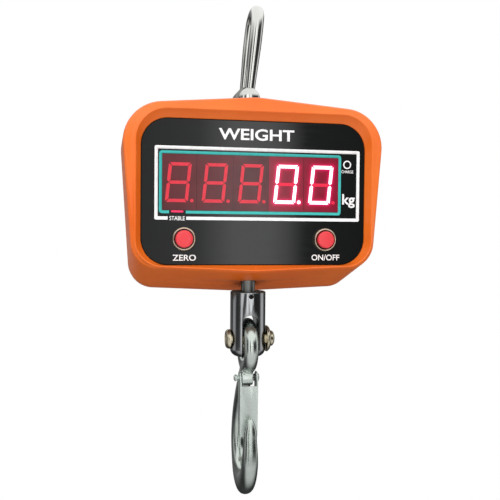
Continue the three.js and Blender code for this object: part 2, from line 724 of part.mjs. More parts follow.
function addBatteryStrap() {
  const [, front] = BATTERY.low;
  const top = BATTERY.high[2] + GAP;
  const bottom = BATTERY.low[2] - GAP;
  const west = STRAP_X - STRAP_W / 2;
  const east = STRAP_X + STRAP_W / 2;
  const foot = 13;
  const holes = STRAP_SCREWS.map(([x, z]) => pilot(x, z, STRAP_FOOT_Y - 3, STRAP_FOOT_Y + 4));
  const face = front - GAP;
  const shape = join(
    block([west, face - STRAP_T, bottom - STRAP_T], [east, face, top + STRAP_T]),
    block([west, face - STRAP_T, top], [east, STRAP_FOOT_Y + STRAP_T, top + STRAP_T]),
    block([west, face - STRAP_T, bottom - STRAP_T], [east, STRAP_FOOT_Y + STRAP_T, bottom]),
    block([west, STRAP_FOOT_Y, top], [east, STRAP_FOOT_Y + STRAP_T, top + foot]),
    block([west, STRAP_FOOT_Y, bottom - foot], [east, STRAP_FOOT_Y + STRAP_T, bottom]),
  );
  add(housing, 'battery_strap', 'zinc', cut(shape, ...holes));
  STRAP_SCREWS.forEach(([x, z], i) => add(housing, `strap_screw_${i + 1}`, 'zinc',
    screw(1, x, z, STRAP_FOOT_Y - GAP, STRAP_SCREW)));
}

function addJack() {
  const wall = sideAt(JACK_Z);
  const at = [0, JACK_Y, JACK_Z];
  const r = JACK_D / 2;
  const flange = wall + 0.8;
  add(housing, 'charging_jack', 'dark', turned('x', [
    [0, wall - 14],
    [r, wall - 14],
    [r, flange],
    [r + 1.6, flange],
    [r + 1.6, flange + 1.2],
    [r - 1.4, flange + 1.4],
    [r - 1.4, flange - 7],
    [0, flange - 7],
  ], at, 24));
  const nutTo = wall - WALL - 1.7;
  add(housing, 'jack_nut', 'zinc', hexNut('x', 11, JACK_D + 2 * GAP, nutTo - 2.4, nutTo, at));
}

function addCables() {
  const boardFace = MAIN_BOARD_Y - GAP;
  const side = CELL_W / 2 + GAP;
  add(housing, 'cell_cable', 'dark', wire([
    [side, 0, 24],
    [side + 10, 2, 23],
    [BRACKET_X + 5, 12, 20],
    [BRACKET_X + 3, 22, 18],
    [BRACKET_X + 2, boardFace - 3, 18],
    [BRACKET_X + 2, boardFace, 18],
  ], 3, 12));
  add(housing, 'battery_cable', 'red', wire([
    [BATTERY.high[0] + GAP, 26, -20],
    [BATTERY.high[0] + 8, 25, -19],
    [MAIN_BOARD.left, 24, -12],
    [MAIN_BOARD.left + 8, boardFace - 2, -8],
    [MAIN_BOARD.left + 8, boardFace, -8],
  ], 2.6, 12));
  const ribbonX = 60;
  add(housing, 'display_cable', 'dark', block(
    [ribbonX - 8, BOARD_Y + BOARD_T + GAP, 4], [ribbonX + 8, boardFace, 5.2]));
}

// ---------------------------------------------------------------- buttons

function addButton(name, x) {
  const at = [x, 0, BUTTON_Z];
  const face = PANEL_Y - GAP;
  const capBore = BUTTON_BARREL_D - 2 * BUTTON_BARREL_WALL;
  add(housing, `${name}_button_barrel`, 'dark', cut(
    rod('y', BUTTON_BARREL_D, face, BUTTON_BARREL_END, at),
    rod('y', capBore, face - 1, BUTTON_BARREL_END - 3, at),
  ));
  const slope = 1;
  add(housing, `${name}_button_ring`, 'cream', turned('y', [
    [BUTTON_RING_BORE / 2, face],
    [BUTTON_RING_D / 2, face],
    [BUTTON_RING_D / 2, face - BUTTON_RING_H + slope],
    [BUTTON_RING_D / 2 - slope, face - BUTTON_RING_H],
    [BUTTON_RING_BORE / 2, face - BUTTON_RING_H + 0.2],
    [BUTTON_RING_BORE / 2, face],
  ], at));
  const capBack = face - GAP - BUTTON_TRAVEL;
  const stem = capBore / 2 - GAP;
  const r = BUTTON_CAP_D / 2;
  const stemEnd = BUTTON_BARREL_END - 3 - GAP - BUTTON_TRAVEL;
  const capFace = capBack - BUTTON_CAP_H;
  add(housing, `${name}_button_cap`, 'red', turned('y', [
    [0, stemEnd],
    [stem, stemEnd],
    [stem, capBack],
    [r, capBack],
    [r, capFace + 0.9],
    [r - 0.7, capFace + 0.2],
    [r * 0.5, capFace],
    [0, capFace],
  ], at));
  add(housing, `${name}_button_nut`, 'zinc', hexNut('y', BUTTON_NUT_FLATS, BUTTON_BARREL_D + 2 * GAP,
    CAVITY_Y + GAP, CAVITY_Y + GAP + 3, at));
}

// ---------------------------------------------------------------- load cell and its carriers

function addLoadCell() {
  const half = CELL_W / 2;
  const thick = CELL_T / 2;
  const reach = half - CELL_END;
  const shape = cut(
    block([-half, -thick, -CELL_H / 2], [half, thick, CELL_H / 2]),
    block([-half - 1, -thick - 1, CELL_WEB], [reach, thick + 1, CELL_WEB + CELL_CUT]),
    block([-reach, -thick - 1, -CELL_WEB - CELL_CUT], [half + 1, thick + 1, -CELL_WEB]),
  );
  const lug = join(
    block([EYE_OFFSET - LUG_W / 2, -LUG_T / 2, CELL_H / 2 - 1],
      [EYE_OFFSET + LUG_W / 2, LUG_T / 2, EYE_HEIGHT]),
    rod('y', LUG_W, -LUG_T / 2, LUG_T / 2, [EYE_OFFSET, 0, EYE_HEIGHT], 32),
  );
  const eye = rod('y', PIN_D + LUG_HOLE_PLAY, -LUG_T, LUG_T, [EYE_OFFSET, 0, EYE_HEIGHT]);
  const stud = turned('z', [
    [0, STUD_END],
    [STUD_D / 2 - 1, STUD_END],
    [STUD_D / 2, STUD_END + 1],
    [STUD_D / 2, 1 - CELL_H / 2],
    [0, 1 - CELL_H / 2],
  ], [0, 0, 0]);
  const pilots = CELL_SCREWS.map(([x, z]) => pilot(x, z, 0, thick + 1));
  add(housing, 'load_cell', 'steel', cut(join(shape, lug, stud), eye, ...pilots));

  const outerX = LUG_W / 2 + SEAL_MARGIN - GAP;
  const outerY = LUG_T / 2 + SEAL_MARGIN - GAP;
  add(housing, 'lug_seal', 'rubber', cut(
    join(
      block([EYE_OFFSET - outerX, -outerY, WELL_FLOOR - WALL], [EYE_OFFSET + outerX, outerY, WELL_FLOOR + 1]),
      block([EYE_OFFSET - outerX - SEAL_LIP, -outerY - SEAL_LIP, WELL_FLOOR + GAP],
        [EYE_OFFSET + outerX + SEAL_LIP, outerY + SEAL_LIP, WELL_FLOOR + GAP + SEAL_LIP]),
    ),
    block([EYE_OFFSET - LUG_W / 2 - GAP, -LUG_T / 2 - GAP, WELL_FLOOR - 10],
      [EYE_OFFSET + LUG_W / 2 + GAP, LUG_T / 2 + GAP, WELL_FLOOR + 10]),
  ));

  const plate = block([-BRACKET_X, BRACKET_Y, BRACKET_LOW], [BRACKET_X, BRACKET_Y + BRACKET_T, BRACKET_HIGH]);
  const relief = block([-30, BRACKET_Y - 1, -14], [30, BRACKET_Y + 5, 14]);
  const holes = [...BRACKET_SCREWS, ...CELL_SCREWS].map(([x, z]) => pilot(x, z, BRACKET_Y - 1,
    BRACKET_Y + 4));
  add(housing, 'cell_bracket', 'zinc', cut(plate, relief, ...holes));
  BRACKET_SCREWS.forEach(([x, z], i) => add(housing, `bracket_screw_${i + 1}`, 'zinc',
    screw(-1, x, z, BRACKET_Y + BRACKET_T + GAP, BRACKET_SCREW)));
  CELL_SCREWS.forEach(([x, z], i) => add(housing, `cell_screw_${i + 1}`, 'zinc',
    screw(-1, x, z, BRACKET_Y + BRACKET_T + GAP, BRACKET_SCREW)));
}

const CELL_SCREWS = [[0, 23], [0, -23]];

function addClevis() {
  const r = CLEVIS_D / 2;
  const corner = 6;
  const profile = [[0, CLEVIS_BOTTOM]];
  for (let k = 0; k <= 4; k += 1) {
    const angle = (Math.PI / 2) * (k / 4);
    profile.push([r - corner + corner * Math.sin(angle), CLEVIS_BOTTOM + corner - corner * Math.cos(angle)]);
  }
  profile.push([r, CLEVIS_TOP - 1], [r - 1, CLEVIS_TOP], [0, CLEVIS_TOP]);
  const half = CLEVIS_SLOT / 2;
  const lockZ = CLEVIS_TOP - 3.4;
  const shape = cut(
    turned('z', profile, [0, 0, 0], 32),
    block([-half, -r - 1, CLEVIS_BOTTOM - 1], [half, r + 1, CLEVIS_SLOT_TOP - half]),
    rod('y', CLEVIS_SLOT, -r - 1, r + 1, [0, 0, CLEVIS_SLOT_TOP - half], 32),
    rod('z', STUD_D + 2 * GAP, STUD_END - 1, CLEVIS_TOP + 1, [0, 0, 0], 32),
    rod('x', HOOK_PIN_D + 2 * GAP, -r - 1, r + 1, [0, 0, HOOK_PIN_Z], 28),
    rod('y', LOCK_SCREW_D + 2 * GAP, -r - 1, 0, [0, 0, lockZ], 16),
  );
  add(housing, 'clevis', 'chrome', shape);
  const grub = cut(rod('y', LOCK_SCREW_D, -r + 1.2, -STUD_D / 2 - GAP, [0, 0, lockZ], 16),
    rod('y', LOCK_SCREW_D / 2, -r, -r + 3, [0, 0, lockZ], 6));
  add(housing, 'clevis_lock_screw', 'dark', grub);

  const head = r + GAP;
  const shank = HOOK_PIN_D / 2;
  const at = [0, 0, HOOK_PIN_Z];
  add(housing, 'clevis_pin', 'brass', turned('x', [
    [0, -head - 3],
    [shank, -head - 3],
    [shank, head],
    [HOOK_PIN_HEAD_R, head],
    [HOOK_PIN_HEAD_R, head + HOOK_PIN_HEAD_H * 0.19],
    [HOOK_PIN_HEAD_R - 0.9, head + HOOK_PIN_HEAD_H * 0.43],
    [HOOK_PIN_HEAD_R * 0.63, head + HOOK_PIN_HEAD_H * 0.49],
    [HOOK_PIN_HEAD_R * 0.59, head + HOOK_PIN_HEAD_H * 0.76],
    [HOOK_PIN_HEAD_R * 0.42, head + HOOK_PIN_HEAD_H * 0.95],
    [0, head + HOOK_PIN_HEAD_H],
  ], at));
  add(housing, 'clevis_pin_nut', 'brass', turned('x', [
    [shank + GAP, -head],
    [HOOK_PIN_NUT_R, -head],
    [HOOK_PIN_NUT_R, -head - 1.4],
    [HOOK_PIN_NUT_R - 1, -head - HOOK_PIN_NUT_H + 0.2],
    [shank + GAP, -head - HOOK_PIN_NUT_H],
    [shank + GAP, -head],
  ], at));
}

// ---------------------------------------------------------------- hook and latch

const HOOK_EYE_Z = -(HOOK_EYE_HOLE / 2 - HOOK_PIN_D / 2 - GAP);

function addHook() {
  const wireR = HOOK_EYE_WIRE / 2;
  const eyeR = HOOK_EYE_HOLE / 2 + wireR;
  const torus = new THREE.TorusGeometry(eyeR, wireR, 12, 24);
  torus.rotateY(Math.PI / 2);
  torus.translate(0, 0, HOOK_EYE_Z);
  const foot = HOOK_EYE_Z - eyeR;
  const curve = yzCurve([
    [1, foot + 1],
    [9, foot - 10],
    [22, foot - 26],
    [33, foot - 45],
    [37.5, foot - 64],
    [35, foot - 79],
    [26, foot - 91],
    [12, foot - 95.5],
    [-2, foot - 91],
    [-11, foot - 81],
    [-14.6, foot - 67],
    [-15, foot - 51],
    [-14.4, foot - 37.5],
  ]);
  const tip = (t) => Math.sqrt(Math.max(0.004, 1 - Math.max(0, (t - 0.93) / 0.07) ** 2));
  const depth = eased([[0, 5.6], [0.2, 6.4], [0.4, 7.4], [0.62, 10.2], [0.8, 7.6], [0.93, 5], [1, 4.2]]);
  const width = eased([[0, 5.4], [0.2, 5.7], [0.45, 5.9], [0.62, 6.6], [0.8, 6.4], [0.93, 5.1], [1, 3.8]]);
  const body = bar(curve, (t) => depth(t) * tip(t), (t) => width(t) * tip(t), 34, 14, 0.85);
  const [py, pz] = LATCH_PIVOT;
  const lug = rod('x', LATCH_LUG_D, ...LATCH_LUG_X, [0, py, pz], 20);
  const hole = rod('x', LATCH_PIN_D + 2 * GAP, -10, 10, [0, py, pz], 20);
  add(hookGroup, 'hook', 'zinc', cut(join(solid(outward(torus)), body, lug), hole));
}

function addLatch() {
  const [py, pz] = LATCH_PIVOT;
  const half = LATCH_W / 2;
  const inner = half - LATCH_SHEET;
  const front = py - LATCH_FACE;
  const end = pz - LATCH_LENGTH;
  // side view of the channel, in y and z
  const side = new THREE.Shape();
  side.moveTo(front, pz - 3);
  side.lineTo(py - 3.4, pz + 4);
  side.absarc(py, pz, LATCH_EAR_R, Math.PI * 0.75, -Math.PI * 0.12, true);
  side.lineTo(py + 4.5, pz - 12);
  side.lineTo(front + 8.5, end);
  side.lineTo(front + 1.2, end);
  side.closePath();
  const profile = new THREE.ExtrudeGeometry(side, { depth: LATCH_W, bevelEnabled: false, curveSegments: 10 });
  // the shape's x is the part's y, its y is the part's z, and its depth is the part's x
  profile.applyMatrix4(new THREE.Matrix4().set(0, 0, 1, -half, 1, 0, 0, 0, 0, 1, 0, 0, 0, 0, 0, 1));
  const hollow = new THREE.Shape();
  const sheet = LATCH_SHEET;
  hollow.moveTo(front + sheet, pz - 6);
  hollow.lineTo(front - 4, pz - 6);
  hollow.lineTo(front - 4, pz + 12);
  hollow.lineTo(py + 20, pz + 12);
  hollow.lineTo(py + 20, end - 5);
  hollow.lineTo(front + 1.2 + sheet + 0.15, end - 5);
  hollow.closePath();
  const core = new THREE.ExtrudeGeometry(hollow, { depth: 2 * inner, bevelEnabled: false });
  core.applyMatrix4(new THREE.Matrix4().set(0, 0, 1, -inner, 1, 0, 0, 0, 0, 1, 0, 0, 0, 0, 0, 1));
  const bore = rod('x', LATCH_PIN_D + 2 * GAP, -10, 10, [0, py, pz], 20);
  add(hookGroup, 'latch', 'zinc', cut(solid(outward(profile)), solid(outward(core)), bore));

  const r = LATCH_PIN_D / 2;
  const cheek = half + GAP;
  add(hookGroup, 'latch_pin', 'zinc', turned('x', [
    [0, -half - 4.2],
    [r + 0.2, -half - 4.2],
    [r + 0.9, -half - 3.4],
    [r + 0.9, -half - 2.4],
    [r, -half - 2],
    [r, cheek],
    [r + 1.6, cheek],
    [r + 1.2, cheek + 1.2],
    [0, cheek + 1.6],
  ], [0, py, pz], 20));

  const coilR = r + 0.8;
  const points = [];
  const steps = 18;
  for (let k = 0; k <= steps; k += 1) {
    const angle = (2 * Math.PI * SPRING_TURNS * k) / steps;
    const x = 3.9 + (1.7 * k) / steps;
    points.push([x, py - coilR * Math.cos(angle), pz + coilR * Math.sin(angle)]);
  }
  add(hookGroup, 'latch_spring', 'steel', wire(points, SPRING_WIRE, 36, 5));
}

addShackle();
addFrontShell();
addGasket();
addRearCover();
addElectronics();
addButton('zero', -BUTTON_X);
addButton('switch', BUTTON_X);
addLoadCell();
addClevis();
addHook();
addLatch();

export default assembly;
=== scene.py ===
"""The looks of the hanging crane scale: fine pieces, procedural materials, studio and camera."""
import json
import math

import bmesh
import bpy
from mathutils import Matrix, Vector

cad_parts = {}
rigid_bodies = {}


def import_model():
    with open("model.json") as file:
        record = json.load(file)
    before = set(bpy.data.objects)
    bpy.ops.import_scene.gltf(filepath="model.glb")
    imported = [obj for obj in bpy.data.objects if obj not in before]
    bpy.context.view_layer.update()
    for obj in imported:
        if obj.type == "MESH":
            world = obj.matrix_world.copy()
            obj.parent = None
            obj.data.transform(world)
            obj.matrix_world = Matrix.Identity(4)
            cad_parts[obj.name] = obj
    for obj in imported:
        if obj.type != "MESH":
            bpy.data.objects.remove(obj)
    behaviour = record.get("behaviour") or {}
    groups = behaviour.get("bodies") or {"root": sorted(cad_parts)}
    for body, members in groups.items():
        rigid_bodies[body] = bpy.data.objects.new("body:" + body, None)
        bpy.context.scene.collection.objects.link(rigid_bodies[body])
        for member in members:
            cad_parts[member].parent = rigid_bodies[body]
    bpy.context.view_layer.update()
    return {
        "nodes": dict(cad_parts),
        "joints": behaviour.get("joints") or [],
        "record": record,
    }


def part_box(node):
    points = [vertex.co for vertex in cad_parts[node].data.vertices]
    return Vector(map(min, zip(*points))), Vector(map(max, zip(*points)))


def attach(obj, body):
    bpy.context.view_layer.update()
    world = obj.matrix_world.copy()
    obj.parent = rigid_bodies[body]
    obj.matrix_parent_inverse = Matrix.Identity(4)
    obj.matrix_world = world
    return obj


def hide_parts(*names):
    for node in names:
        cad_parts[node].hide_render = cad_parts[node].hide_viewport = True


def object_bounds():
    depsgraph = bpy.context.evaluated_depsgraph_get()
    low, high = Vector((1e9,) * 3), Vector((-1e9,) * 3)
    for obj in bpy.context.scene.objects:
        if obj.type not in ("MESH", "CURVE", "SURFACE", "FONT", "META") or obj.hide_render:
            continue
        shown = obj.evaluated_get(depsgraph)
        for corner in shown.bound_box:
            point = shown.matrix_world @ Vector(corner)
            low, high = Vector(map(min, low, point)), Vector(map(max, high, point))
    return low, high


for default in list(bpy.data.objects):
    bpy.data.objects.remove(default)
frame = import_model()

MM = 0.001

# ---------------- places taken from the frame


def middle(node):
    """The middle of a CAD node's box, in metres."""
    low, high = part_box(node)
    return (low + high) / 2


def joint(name):
    return next(j for j in frame["joints"] if j["name"] == name)


PANEL_LOW, PANEL_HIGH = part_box("front_panel")
HOUSE = Vector((middle("front_panel").x, 0, middle("front_panel").z))
BOW_PIN = Vector(joint("shackle_swing")["pos_m"])
HOOK_PIN = Vector(joint("hook_swing")["pos_m"])
LATCH_PIN = Vector(joint("latch_open")["pos_m"])
LEAN = math.atan2(-BOW_PIN.x, -BOW_PIN.z)
SHACKLE = Matrix.Rotation(LEAN, 4, "Y")


def house_point(x, z):
    """A point of the housing's middle plane, from millimetres off its middle."""
    return HOUSE + Vector((x, 0, z)) * MM


# ---------------- mesh tools (local units are mm)


def show(obj):
    bpy.context.scene.collection.objects.link(obj)


def mesh_object(name, points, faces, origin=Vector(), smooth=True, matrix=None):
    """An object from points in millimetres about an origin in metres."""
    mesh = bpy.data.meshes.new(name)
    placed = []
    for point in points:
        p = Vector(point) * MM + origin
        placed.append(matrix @ p if matrix else p)
    mesh.from_pydata(placed, [], faces)
    mesh.validate()
    obj = bpy.data.objects.new(name, mesh)
    show(obj)
    tidy_mesh(obj)
    if smooth:
        shade(obj)
    return obj


def tidy_mesh(obj):
    """Merges doubled points, drops empty faces and turns every face outward."""
    bm = bmesh.new()
    bm.from_mesh(obj.data)
    bmesh.ops.remove_doubles(bm, verts=bm.verts, dist=1e-7)
    bmesh.ops.dissolve_degenerate(bm, dist=1e-8, edges=bm.edges)
    bmesh.ops.recalc_face_normals(bm, faces=bm.faces)
    bm.to_mesh(obj.data)
    bm.free()


def shade(obj, angle=32):
    """Smooth shading with edges sharper than the angle left crisp."""
    mesh = obj.data
    mesh.polygons.foreach_set("use_smooth", [True] * len(mesh.polygons))
    mesh.set_sharp_from_angle(angle=math.radians(angle))


def apply_modifiers(obj):
    depsgraph = bpy.context.evaluated_depsgraph_get()
    made = bpy.data.meshes.new_from_object(obj.evaluated_get(depsgraph))
    obj.modifiers.clear()
    obj.data = made
    return obj


def combine(obj, tool, operation="DIFFERENCE"):
    """Cuts or joins by a boolean, and removes the tool."""
    modifier = obj.modifiers.new("combine", "BOOLEAN")
    modifier.operation = operation
    modifier.solver = "MANIFOLD"
    modifier.object = tool
    apply_modifiers(obj)
    bpy.data.objects.remove(tool)
    return obj


def bevel(obj, width, segments=3, angle=30):
    modifier = obj.modifiers.new("bevel", "BEVEL")
    modifier.width = width * MM
    modifier.segments = segments
    modifier.limit_method = "ANGLE"
    modifier.angle_limit = math.radians(angle)
    modifier.harden_normals = False
    modifier.use_clamp_overlap = True
    apply_modifiers(obj)
    shade(obj)
    return obj


def skin(name, rings, origin=Vector(), matrix=None, close_ends=True):
    """A skin through rings of equal length."""
    count = len(rings[0])
    points = [p for ring in rings for p in ring]
    faces = []
    for r in range(len(rings) - 1):
        for k in range(count):
            a = r * count + k
            b = r * count + (k + 1) % count
            faces.append((a, b, b + count, a + count))
    if close_ends:
        faces.append(tuple(reversed(range(count))))
        faces.append(tuple(range(len(points) - count, len(points))))
    return mesh_object(name, points, faces, origin, matrix=matrix)


AXIS_FRAMES = {
    "x": lambda r, a, t: (a, r * math.cos(t), r * math.sin(t)),
    "y": lambda r, a, t: (r * math.cos(t), a, r * math.sin(t)),
    "z": lambda r, a, t: (r * math.cos(t), r * math.sin(t), a),
}


def lathe(name, axis, profile, origin, sides=72, matrix=None):
    """A turned piece; profile is [radius, coordinate along the axis] pairs, closed on itself or the axis."""
    make = AXIS_FRAMES[axis]
    ring = any(r <= 1e-6 for r, _ in profile)
    shape = list(profile) if ring else list(profile) + [profile[0]]
    rings = [[make(max(r, 1e-6), a, 2 * math.pi * k / sides) for k in range(sides)] for r, a in shape]
    return skin(name, rings, origin, matrix, close_ends=ring)


def arc(steps, start=0.0, turn=math.pi / 2):
    """Angles evenly spaced over a turn, with both ends."""
    return [start + turn * k / steps for k in range(steps + 1)]


def rod(name, axis, radius, start, end, origin, sides=48):
    return lathe(name, axis, [(0, start), (radius, start), (radius, end), (0, end)], origin, sides)


def block(name, low, high, origin):
    points = [(x, y, z) for x in (low[0], high[0]) for y in (low[1], high[1]) for z in (low[2], high[2])]
    faces = [(0, 1, 3, 2), (4, 6, 7, 5), (0, 4, 5, 1), (2, 3, 7, 6), (0, 2, 6, 4), (1, 5, 7, 3)]
    return mesh_object(name, points, faces, origin, smooth=False)


def rounded_outline(corners, segments=14):
    """Points of a convex outline with rounded corners; each corner is (x, z, radius)."""
    points = []
    count = len(corners)
    for i, (x, z, radius) in enumerate(corners):
        here = Vector((x, z))
        before = (Vector(corners[i - 1][:2]) - here).normalized()
        after = (Vector(corners[(i + 1) % count][:2]) - here).normalized()
        half = math.acos(max(-1, min(1, before.dot(after)))) / 2
        if radius == 0 or half > math.radians(89.9):
            points += [(x, z)] * (segments + 1)
            continue
        start = here + before * (radius / math.tan(half))
        end = here + after * (radius / math.tan(half))
        centre = here + (before + after).normalized() * (radius / math.sin(half))
        first = math.atan2(start.y - centre.y, start.x - centre.x)
        turn = math.atan2(end.y - centre.y, end.x - centre.x) - first
        turn = (turn + math.pi) % (2 * math.pi) - math.pi
        for k in range(segments + 1):
            angle = first + turn * k / segments
            points.append((centre.x + radius * math.cos(angle), centre.y + radius * math.sin(angle)))
    return points


def mirrored(half):
    return rounded_outline(half + [(-x, z, r) for x, z, r in reversed(half[1:-1])])


SPLINE_PARTS = 40           # straight parts between two points of a spline


def spline(points, steps):
    """Points evenly spaced along a smooth curve through the given (y, z) points."""
    dense = []
    padded = [points[0]] + list(points) + [points[-1]]
    for i in range(1, len(padded) - 2):
        p0, p1, p2, p3 = (Vector(p) for p in padded[i - 1:i + 3])
        for k in range(SPLINE_PARTS):
            t = k / SPLINE_PARTS
            dense.append(0.5 * (2 * p1 + (p2 - p0) * t + (2 * p0 - 5 * p1 + 4 * p2 - p3) * t * t
                                + (3 * p1 - p0 - 3 * p2 + p3) * t ** 3))
    dense.append(Vector(points[-1]))
    lengths = [0]
    for a, b in zip(dense, dense[1:]):
        lengths.append(lengths[-1] + (b - a).length)
    found = []
    j = 0
    for s in range(steps + 1):
        want = lengths[-1] * s / steps
        while j < len(lengths) - 2 and lengths[j + 1] < want:
            j += 1
        share = (want - lengths[j]) / max(1e-9, lengths[j + 1] - lengths[j])
        found.append(dense[j].lerp(dense[j + 1], min(1, max(0, share))))
    return found


def eased(stops):
    """A function that eases between (t, value) stops."""
    def value(t):
        for (t0, v0), (t1, v1) in zip(stops, stops[1:]):
            if t <= t1:
                s = (t - t0) / (t1 - t0)
                return v0 + (v1 - v0) * s * s * (3 - 2 * s)
        return stops[-1][1]
    return value


def bar(name, points, depth, width, origin, steps=160, sides=40, square=1.0, matrix=None):
    """A bent bar in the YZ plane with a varying section."""
    line = spline(points, steps)
    rings = []
    for s, centre in enumerate(line):
        t = s / steps
        tangent = (line[min(s + 1, steps)] - line[max(s - 1, 0)]).normalized()
        normal = Vector((-tangent.y, tangent.x))
        ring = []
        for k in range(sides):
            angle = 2 * math.pi * k / sides
            c, n = math.cos(angle), math.sin(angle)
            along = math.copysign(abs(c) ** square, c) * depth(t)
            across = math.copysign(abs(n) ** square, n) * width(t)
            ring.append((across, centre.x + normal.x * along, centre.y + normal.y * along))
        rings.append(ring)
    return skin(name, rings, origin, matrix)


def piece(obj, body, slot, *nodes, material=None):
    """Gives a piece its material, which is the slot's own if none is named, parents it to its body and hides
    the CAD nodes that it replaces.
    """
    obj.data.materials.clear()
    obj.data.materials.append(material or MATERIALS[slot])
    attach(obj, body)
    if nodes:
        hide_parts(*nodes)
    return obj


# ---------------- materials


def srgb(red, green, blue):
    """A colour written as 0-255 screen values, as linear light."""
    def linear(v):
        v /= 255
        return v / 12.92 if v <= 0.04045 else ((v + 0.055) / 1.055) ** 2.4
    return (linear(red), linear(green), linear(blue), 1)


class Graph:
    """A node tree with helpers that make and join its nodes."""

    def __init__(self, tree):
        self.tree = tree

    def node(self, kind, **values):
        made = self.tree.nodes.new("ShaderNode" + kind)
        for key, value in values.items():
            if hasattr(made, key):
                setattr(made, key, value)
            else:
                made.inputs[key.replace("_", " ")].default_value = value
        return made

    def link(self, source, target):
        self.tree.links.new(source, target)

    def ramp(self, value, stops):
        made = self.node("ValToRGB")
        elements = made.color_ramp.elements
        while len(elements) < len(stops):
            elements.new(0.5)
        for element, (at, colour) in zip(elements, stops):
            element.position = at
            element.color = colour if len(colour) == 4 else (*colour, 1)
        self.link(value, made.inputs["Fac"])
        return made.outputs["Color"]

    def grey(self, value, low, high, start=0.0, end=1.0):
        """Maps a value between start and end to low and high, and holds it there outside."""
        made = self.node("MapRange")
        made.inputs["From Min"].default_value = start
        made.inputs["From Max"].default_value = end
        made.inputs["To Min"].default_value = low
        made.inputs["To Max"].default_value = high
        self.link(value, made.inputs["Value"])
        return made.outputs["Result"]


class Shader(Graph):
    """A Principled material with helpers for its procedural detail."""

    def __init__(self, name, base, roughness, metallic=0.0, **sockets):
        self.material = bpy.data.materials.new(name)
        self.material.use_nodes = True
        super().__init__(self.material.node_tree)
        self.bsdf = self.tree.nodes["Principled BSDF"]
        self.set("Base Color", base)
        self.set("Roughness", roughness)
        self.set("Metallic", metallic)
        for key, value in sockets.items():
            self.set(key.replace("_", " "), value)
        self.coords = self.tree.nodes.new("ShaderNodeTexCoord").outputs["Object"]

    def set(self, socket, value):
        self.bsdf.inputs[socket].default_value = value

    def stretched(self, scale):
        mapping = self.node("Mapping")
        mapping.inputs["Scale"].default_value = scale
        self.link(self.coords, mapping.inputs["Vector"])
        return mapping.outputs["Vector"]

    def noise(self, scale, detail=4, roughness=0.55, stretch=None):
        made = self.node("TexNoise", Scale=scale, Detail=detail, Roughness=roughness)
        self.link(self.stretched(stretch) if stretch else self.coords, made.inputs["Vector"])
        return made.outputs["Fac"]

    def roughen(self, value, low, high, start=0.3, end=0.7):
        self.link(self.grey(value, low, high, start, end), self.bsdf.inputs["Roughness"])

    def colour(self, value, stops):
        self.link(self.ramp(value, stops), self.bsdf.inputs["Base Color"])

    def bump(self, value, depth, strength=1.0, after=None):
        made = self.node("Bump")
        made.inputs["Distance"].default_value = depth
        made.inputs["Strength"].default_value = strength
        self.link(value, made.inputs["Height"])
        if after is not None:
            self.link(after, made.inputs["Normal"])
        self.link(made.outputs["Normal"], self.bsdf.inputs["Normal"])
        return made.outputs["Normal"]


def orange_paint():
    s = Shader("orange_paint", srgb(242, 112, 24), 0.38, Coat_Weight=0.3, Coat_Roughness=0.1)
    # mirror reflections see a dull grey-brown, so the metal shows no orange patches
    paint = s.ramp(s.noise(14, 3), [(0.3, srgb(237, 104, 20)), (0.7, srgb(247, 119, 28))])
    dull = s.node("MixRGB", Color2=srgb(120, 96, 82))
    s.link(s.node("LightPath").outputs["Is Glossy Ray"], dull.inputs["Fac"])
    s.link(paint, dull.inputs["Color1"])
    s.link(dull.outputs["Color"], s.bsdf.inputs["Base Color"])
    s.roughen(s.noise(60, 5), 0.32, 0.44)
    peel = s.bump(s.noise(900, 2, 0.5), 0.00003, 0.35)
    s.bump(s.noise(90, 2, 0.5), 0.00012, 0.25, peel)
    return s.material


def panel_black():
    s = Shader("panel_black", srgb(9, 11, 11), 0.06)
    s.colour(s.noise(9, 2), [(0.3, srgb(7, 9, 9)), (0.7, srgb(12, 14, 14))])
    scratches = s.noise(40, 6, 0.7, (1, 1, 14))
    s.roughen(scratches, 0.04, 0.1, 0.45, 0.7)
    s.bump(s.noise(25, 2), 0.00002, 0.15)
    return s.material


def printed(name, colour, roughness=0.28):
    s = Shader(name, colour, roughness)
    darker = tuple(c * 0.88 for c in colour[:3])
    s.colour(s.noise(300, 3), [(0.35, darker), (0.65, colour)])
    s.bump(s.noise(1800, 2), 0.00001, 0.3)
    return s.material


def lit(name, colour, strength, base):
    s = Shader(name, base, 0.2)
    s.set("Emission Color", colour)
    s.set("Emission Strength", strength)
    s.roughen(s.noise(200, 3), 0.15, 0.25)
    return s.material


def polished(name, base, roughness, streaks, grain=(1, 1, 1), scale=120):
    """Bright metal with fine directional scratches and cloudy wear."""
    s = Shader(name, base, roughness, 1.0)
    lines = s.noise(scale, 6, 0.65, grain)
    cloud = s.noise(35, 3)
    darker = tuple(c * 0.8 for c in base[:3])
    s.colour(cloud, [(0.32, darker), (0.68, base)])
    s.roughen(lines, roughness * 0.6, roughness * 1.7)
    s.bump(lines, 0.00004, streaks)
    return s.material


def cast_zinc():
    s = Shader("zinc_plate", srgb(206, 214, 208), 0.24, 1.0)
    cloud = s.noise(28, 5, 0.6)
    s.colour(cloud, [(0.25, srgb(158, 166, 161)), (0.5, srgb(203, 211, 205)), (0.8, srgb(222, 229, 223))])
    s.roughen(s.noise(85, 5, 0.7), 0.17, 0.32)
    fine = s.bump(s.noise(420, 4, 0.7), 0.00005, 0.3)
    s.bump(s.noise(55, 3), 0.0002, 0.15, fine)
    return s.material


def plastic(name, colour, roughness=0.4, grain=700):
    s = Shader(name, colour, roughness)
    darker = tuple(c * 0.85 for c in colour[:3])
    s.colour(s.noise(30, 3), [(0.3, darker), (0.7, colour)])
    s.roughen(s.noise(120, 4), roughness * 0.8, roughness * 1.2)
    s.bump(s.noise(grain, 3), 0.00003, 0.4)
    return s.material


